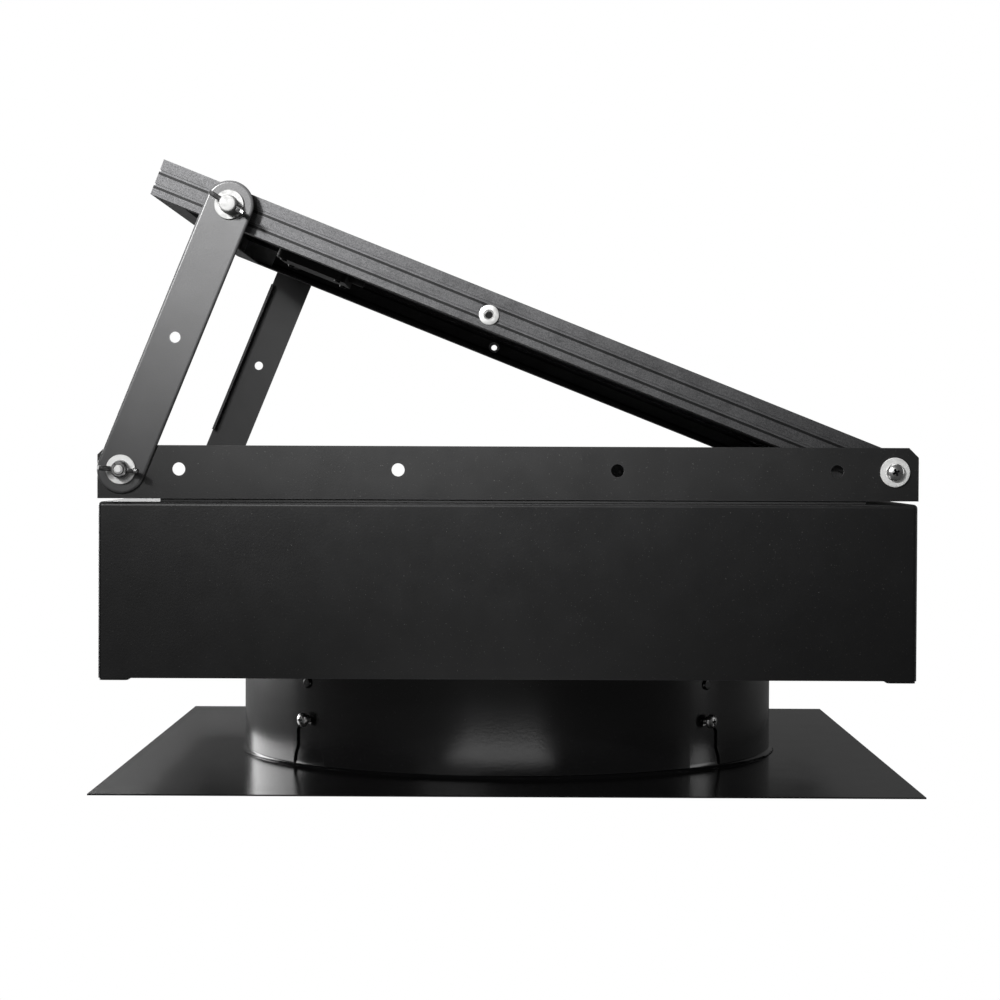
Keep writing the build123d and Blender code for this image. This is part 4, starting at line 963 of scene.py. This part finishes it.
class ATTICFAN_OT_make_hinge_hardware(bpy.types.Operator):
    """Make the hinge screws and their washers"""

    bl_idname = "attic_fan.make_hinge_hardware"
    bl_label = "Make hinge screws"

    head_radius: bpy.props.FloatProperty(
        name="Head radius", description="Radius of the pan head", default=6.0 * MM, unit="LENGTH",
    )
    head_height: bpy.props.FloatProperty(
        name="Head height", description="Height of the pan head", default=4.4 * MM, unit="LENGTH",
    )

    shank_end: bpy.props.FloatProperty(
        name="Shank end", description="Distance of the screws' ends from the fan's middle", default=251 * MM,
        unit="LENGTH",
    )

    def execute(self, context):
        sizes = settings()
        low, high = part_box("hinge_washers")
        radius, thick = (high.x - low.x) / 2, 1.5 * MM
        bm = bmesh.new()
        for sign, face in ((-1, low.y + thick), (1, high.y - thick)):
            outline = washer_outline(3.05 * MM, radius, 0, thick, sizes.edge_round)
            lathe(bm, outline, sizes.lathe_steps, outward(sign, HINGE.x, face, HINGE.z))
        # The pale copy of zinc, lightened as painted light so these washers read bright in the dim light at
        # the hinge.
        add_piece("hinge_pivot_washers", bm, "washer_zinc", "solar_panel", "hinge_washers")
        shank_length = -low.y - self.shank_end
        places = [
            outward(sign, HINGE.x, face, HINGE.z) @ Matrix.Rotation(math.radians(25), 4, "Z")
            for sign, face in ((-1, low.y), (1, high.y))
        ]
        screw_with_recess(
            "hinge_pivot_screws", self.head_radius, self.head_height, 2.98 * MM, shank_length,
            sizes.pitch_m6, places, "solar_panel", "hinge_screws",
        )
        return {"FINISHED"}


class ATTICFAN_OT_make_rivet_nuts(bpy.types.Operator):
    """Turn the rivet nuts in the panel frame, with a countersunk threaded bore"""

    bl_idname = "attic_fan.make_rivet_nuts"
    bl_label = "Make rivet nuts"

    mid_reach: bpy.props.FloatProperty(
        name="Middle nut", description="Distance of the middle nuts from the hinge", default=291.5 * MM,
        unit="LENGTH",
    )
    mid_drop: bpy.props.FloatProperty(
        name="Middle drop", description="Distance of the middle nuts below the hinge line", default=3.1 * MM,
        unit="LENGTH",
    )

    def execute(self, context):
        sizes = settings()
        low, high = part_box("panel_rivet_nuts")
        arm_reach = math.hypot(HINGE.x - TOP_PIVOT.x, TOP_PIVOT.z - HINGE.z)
        flange, rim, bore, body, length = 6.8 * MM, 1.0 * MM, 2.9 * MM, 4.48 * MM, 12.8 * MM
        ribs = []
        for k in range(11):
            ribs += [(bore, -1.2 * MM - k * 1.0 * MM), (bore - 0.35 * MM, -1.7 * MM - k * 1.0 * MM)]
        outline = [
            (bore + 0.7 * MM, 0), (flange - 0.5 * MM, 0),
            (flange - 0.15 * MM, -0.15 * MM), (flange, -0.5 * MM),
            (flange, -rim), (body, -rim), (body, -length), (bore, -length), *reversed(ribs),
        ]
        bm = bmesh.new()
        for sign, face in ((-1, low.y), (1, high.y)):
            for x, z in ((0, 0), (-self.mid_reach, -self.mid_drop), (-arm_reach, 0)):
                spot = PANEL_FRAME @ Vector((x, 0, z))
                lathe(bm, outline, sizes.lathe_steps, outward(sign, spot.x, face, spot.z))
        # The rivet nuts take a darkened copy of zinc: painted shade against the bright light on the panel.
        add_piece("threaded_rivet_nuts", bm, "pivot_zinc", "solar_panel", "panel_rivet_nuts")
        return {"FINISHED"}


class ATTICFAN_OT_make_solder_ribbons(bpy.types.Operator):
    """Lay the solder ribbons along the columns of cells"""

    bl_idname = "attic_fan.make_solder_ribbons"
    bl_label = "Make solder ribbons"

    columns: bpy.props.IntProperty(name="Columns", description="Columns of cells across the panel", default=4)
    per_column: bpy.props.IntProperty(name="Ribbons", description="Ribbons along each column", default=3)

    def execute(self, context):
        low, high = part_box("solar_cells")
        to_panel = PANEL_FRAME.inverted()
        flat = [to_panel @ vert.co for vert in frame["nodes"]["solar_cells"].data.vertices]
        start, end = min(p.x for p in flat), max(p.x for p in flat)
        top = max(p.z for p in flat)
        width = (high.y - low.y) / self.columns
        bm = bmesh.new()
        size = (end - start - 6 * MM, settings().ribbon_width, 0.12 * MM)
        for column in range(self.columns):
            for k in range(self.per_column):
                y = low.y + width * (column + (k + 0.5) / self.per_column)
                spot = Matrix.Translation(((start + end) / 2, y, top + 0.07 * MM))
                slab(bm, size, PANEL_FRAME @ spot)
        add_piece("solder_ribbons", bm, "ribbon", "solar_panel")
        return {"FINISHED"}


class ATTICFAN_OT_make_inlet_guard(bpy.types.Operator):
    """Weld the round-wire finger guard below the motor"""

    bl_idname = "attic_fan.make_inlet_guard"
    bl_label = "Make inlet guard"

    first_ring: bpy.props.FloatProperty(
        name="First ring", description="Radius of the innermost ring", default=50 * MM, unit="LENGTH",
    )
    ring_gap: bpy.props.FloatProperty(
        name="Ring gap", description="Distance between rings", default=20 * MM, unit="LENGTH",
    )

    def execute(self, context):
        wire = settings().guard_wire / 2
        low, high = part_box("inlet_guard")
        reach = high.x
        plane = low.z + wire
        radii = [self.first_ring + k * self.ring_gap for k in range(8)] + [reach - 5.5 * MM]
        bm = bmesh.new()
        for radius in radii:
            section = arc(radius, plane + 0.6 * wire, wire, 0, 360, 8)[:-1]
            lathe(bm, section, 96)
        start = self.first_ring
        length = reach - 5.5 * MM - start
        for k in range(8):
            place = (
                Matrix.Rotation(k * math.pi / 4, 4, "Z")
                @ Matrix.Translation((start + length / 2, 0, plane))
                @ Matrix.Rotation(math.pi / 2, 4, "Y")
            )
            bmesh.ops.create_cone(
                bm, cap_ends=True, segments=12, radius1=wire, radius2=wire, depth=length + wire, matrix=place,
            )
        for k in range(4):
            turn = Matrix.Rotation(k * math.pi / 2, 4, "Z")
            shelf = Matrix.Translation((reach - 3.2 * MM, 0, low.z + 1 * MM))
            tab = Matrix.Translation((reach - 1.1 * MM, 0, (low.z + high.z) / 2))
            slab(bm, (6.0 * MM, 15 * MM, 1.9 * MM), turn @ shelf, 0.4 * MM)
            slab(bm, (1.4 * MM, 15 * MM, high.z - low.z - 0.1 * MM), turn @ tab, 0.3 * MM)
        add_piece("wire_inlet_guard", bm, "galvanised", "fan_head", "inlet_guard")
        return {"FINISHED"}


# ---------------------------------------------------------------- operator: the stage
def soft_light(name, place, target, size, watts):
    """A rectangular softbox aimed at a point."""
    lamp = bpy.data.lights.new(name, "AREA")
    lamp.shape = "RECTANGLE"
    lamp.size, lamp.size_y = size
    lamp.energy = watts
    box = bpy.data.objects.new(name, lamp)
    box.location = place
    box.rotation_euler = (Vector(target) - Vector(place)).to_track_quat("-Z", "Y").to_euler()
    bpy.context.scene.collection.objects.link(box)
    return box


def backdrop_shader(tree, output, seen, lit):
    """White to the eye, dim in reflections: a pale backdrop in a dark studio."""
    path = tree.nodes.new("ShaderNodeLightPath")
    blend = tree.nodes.new("ShaderNodeMixShader")
    tree.links.new(path.outputs["Is Camera Ray"], blend.inputs[0])
    tree.links.new(lit, blend.inputs[1])
    tree.links.new(seen, blend.inputs[2])
    tree.links.new(blend.outputs[0], output)


class ATTICFAN_OT_set_stage(bpy.types.Operator):
    """Lay the pale floor, hang the softboxes and set the camera"""

    bl_idname = "attic_fan.set_stage"
    bl_label = "Set stage"

    def execute(self, context):
        stage = context.scene.attic_fan_stage
        self.lay_floor()
        self.light_world(context, stage)
        self.hang_lights()
        self.set_camera(context, stage)
        context.scene.view_settings.view_transform = "Standard"
        return {"FINISHED"}

    def lay_floor(self):
        bm = bmesh.new()
        bmesh.ops.create_grid(bm, x_segments=2, y_segments=2, size=40)
        bmesh.ops.translate(bm, vec=(0, 0, -0.4 * MM), verts=bm.verts)
        mesh = bpy.data.meshes.new("studio_floor")
        bm.to_mesh(mesh)
        bm.free()
        floor = bpy.data.objects.new("studio_floor", mesh)
        bpy.context.scene.collection.objects.link(floor)
        paint = bpy.data.materials.new("pale_floor")
        paint.use_nodes = True
        tree = paint.node_tree
        dull = tree.nodes["Principled BSDF"]
        dull.inputs["Base Color"].default_value = (0.12, 0.12, 0.12, 1)
        dull.inputs["Roughness"].default_value = 0.9
        glow = tree.nodes.new("ShaderNodeEmission")
        glow.inputs["Strength"].default_value = 1.0
        backdrop_shader(
            tree, tree.nodes["Material Output"].inputs["Surface"], glow.outputs[0], dull.outputs[0],
        )
        mesh.materials.append(paint)

    def light_world(self, context, stage):
        world = bpy.data.worlds.new("studio")
        context.scene.world = world
        world.use_nodes = True
        tree = world.node_tree
        dim = tree.nodes["Background"]
        dim.inputs["Color"].default_value = (1, 1, 1, 1)
        dim.inputs["Strength"].default_value = stage.ambient
        white = tree.nodes.new("ShaderNodeBackground")
        white.inputs["Color"].default_value = (1, 1, 1, 1)
        backdrop_shader(
            tree, tree.nodes["World Output"].inputs["Surface"], white.outputs[0], dim.outputs[0],
        )

    def hang_lights(self):
        soft_light("key", (-1.3, -3.2, 1.5), (-0.1, -0.27, 0.3), (1.6, 1.2), 36)
        soft_light("left_wall", (-1.6, 0.9, 0.35), (-0.2, 0, 0.1), (1.4, 0.9), 26)
        soft_light("right_strip", (1.9, -0.1, 0.5), (0.2, 0, 0.1), (0.4, 1.2), 4)
        soft_light("overhead", (-0.2, 0.2, 2.4), (0, 0, 0.2), (1.6, 1.6), 24)
        soft_light("back", (-0.9, 2.6, 1.4), (0, 0, 0.2), (1.8, 1.0), 26)
        card = soft_light("floor_card", (-0.01, -0.35, 0.002), (-0.01, -0.35, 1.0), (0.16, 0.13), 0.16)
        card.visible_camera = False
        card.visible_diffuse = False
        self.hang_spot()

    def hang_spot(self):
        """A soft-edged pool of light on the upper left of the panel and its arm."""
        lamp = bpy.data.lights.new("accent", "SPOT")
        lamp.energy = 400
        lamp.spot_size = math.radians(22)
        lamp.spot_blend = 0.9
        lamp.shadow_soft_size = 0.12
        spot = bpy.data.objects.new("accent", lamp)
        place, target = Vector((-0.9, -1.6, 1.0)), Vector((-0.06, -0.27, 0.465))
        spot.location = place
        spot.rotation_euler = (target - place).to_track_quat("-Z", "Y").to_euler()
        bpy.context.scene.collection.objects.link(spot)

    def set_camera(self, context, stage):
        lens = bpy.data.cameras.new("camera")
        lens.lens = stage.camera_lens
        lens.sensor_width = 36
        lens.clip_start = 0.01
        camera = bpy.data.objects.new("camera", lens)
        camera.matrix_world = (
            Matrix.Translation(stage.camera_place)
            @ Matrix.Rotation(stage.camera_yaw, 4, "Z")
            @ Matrix.Rotation(math.pi / 2 - stage.camera_pitch, 4, "X")
            @ Matrix.Rotation(stage.camera_roll, 4, "Z")
        )
        context.scene.collection.objects.link(camera)
        context.scene.camera = camera


class ATTICFAN_PT_sidebar(bpy.types.Panel):
    """The steps of dressing the fan, in order"""

    bl_idname = "ATTICFAN_PT_sidebar"
    bl_label = "Attic Fan"
    bl_space_type = "VIEW_3D"
    bl_region_type = "UI"
    bl_category = "Attic Fan"

    def draw(self, context):
        for group in ("attic_fan_finishes", "attic_fan_hardware", "attic_fan_stage"):
            values = getattr(context.scene, group)
            box = self.layout.box()
            for name in values.bl_rna.properties.keys():
                if name not in ("rna_type", "name"):
                    box.prop(values, name)
        for step in STEPS:
            self.layout.operator(step.bl_idname)


GROUPS = {
    "attic_fan_finishes": FanFinishSettings,
    "attic_fan_hardware": FanHardwareSettings,
    "attic_fan_stage": FanStageSettings,
}
STEPS = (
    ATTICFAN_OT_mix_finishes,
    ATTICFAN_OT_coat_roof_parts,
    ATTICFAN_OT_coat_hood,
    ATTICFAN_OT_coat_rails,
    ATTICFAN_OT_coat_arms,
    ATTICFAN_OT_finish_panel,
    ATTICFAN_OT_finish_motor,
    ATTICFAN_OT_finish_fan,
    ATTICFAN_OT_make_washers,
    ATTICFAN_OT_make_wing_bolts,
    ATTICFAN_OT_make_wing_nuts,
    ATTICFAN_OT_make_studs,
    ATTICFAN_OT_make_neck_screws,
    ATTICFAN_OT_make_hinge_hardware,
    ATTICFAN_OT_make_rivet_nuts,
    ATTICFAN_OT_make_solder_ribbons,
    ATTICFAN_OT_make_inlet_guard,
    ATTICFAN_OT_set_stage,
)
CLASSES = (*GROUPS.values(), *STEPS, ATTICFAN_PT_sidebar)


def register():
    for cls in CLASSES:
        bpy.utils.register_class(cls)
    for name, group in GROUPS.items():
        setattr(bpy.types.Scene, name, bpy.props.PointerProperty(type=group))


def unregister():
    for name in GROUPS:
        delattr(bpy.types.Scene, name)
    for cls in reversed(CLASSES):
        bpy.utils.unregister_class(cls)


def main():
    """Dresses the fan, step by step."""
    register()
    for step in STEPS:
        group, name = step.bl_idname.split(".")
        getattr(getattr(bpy.ops, group), name)()


if __name__ == "__main__":
    main()
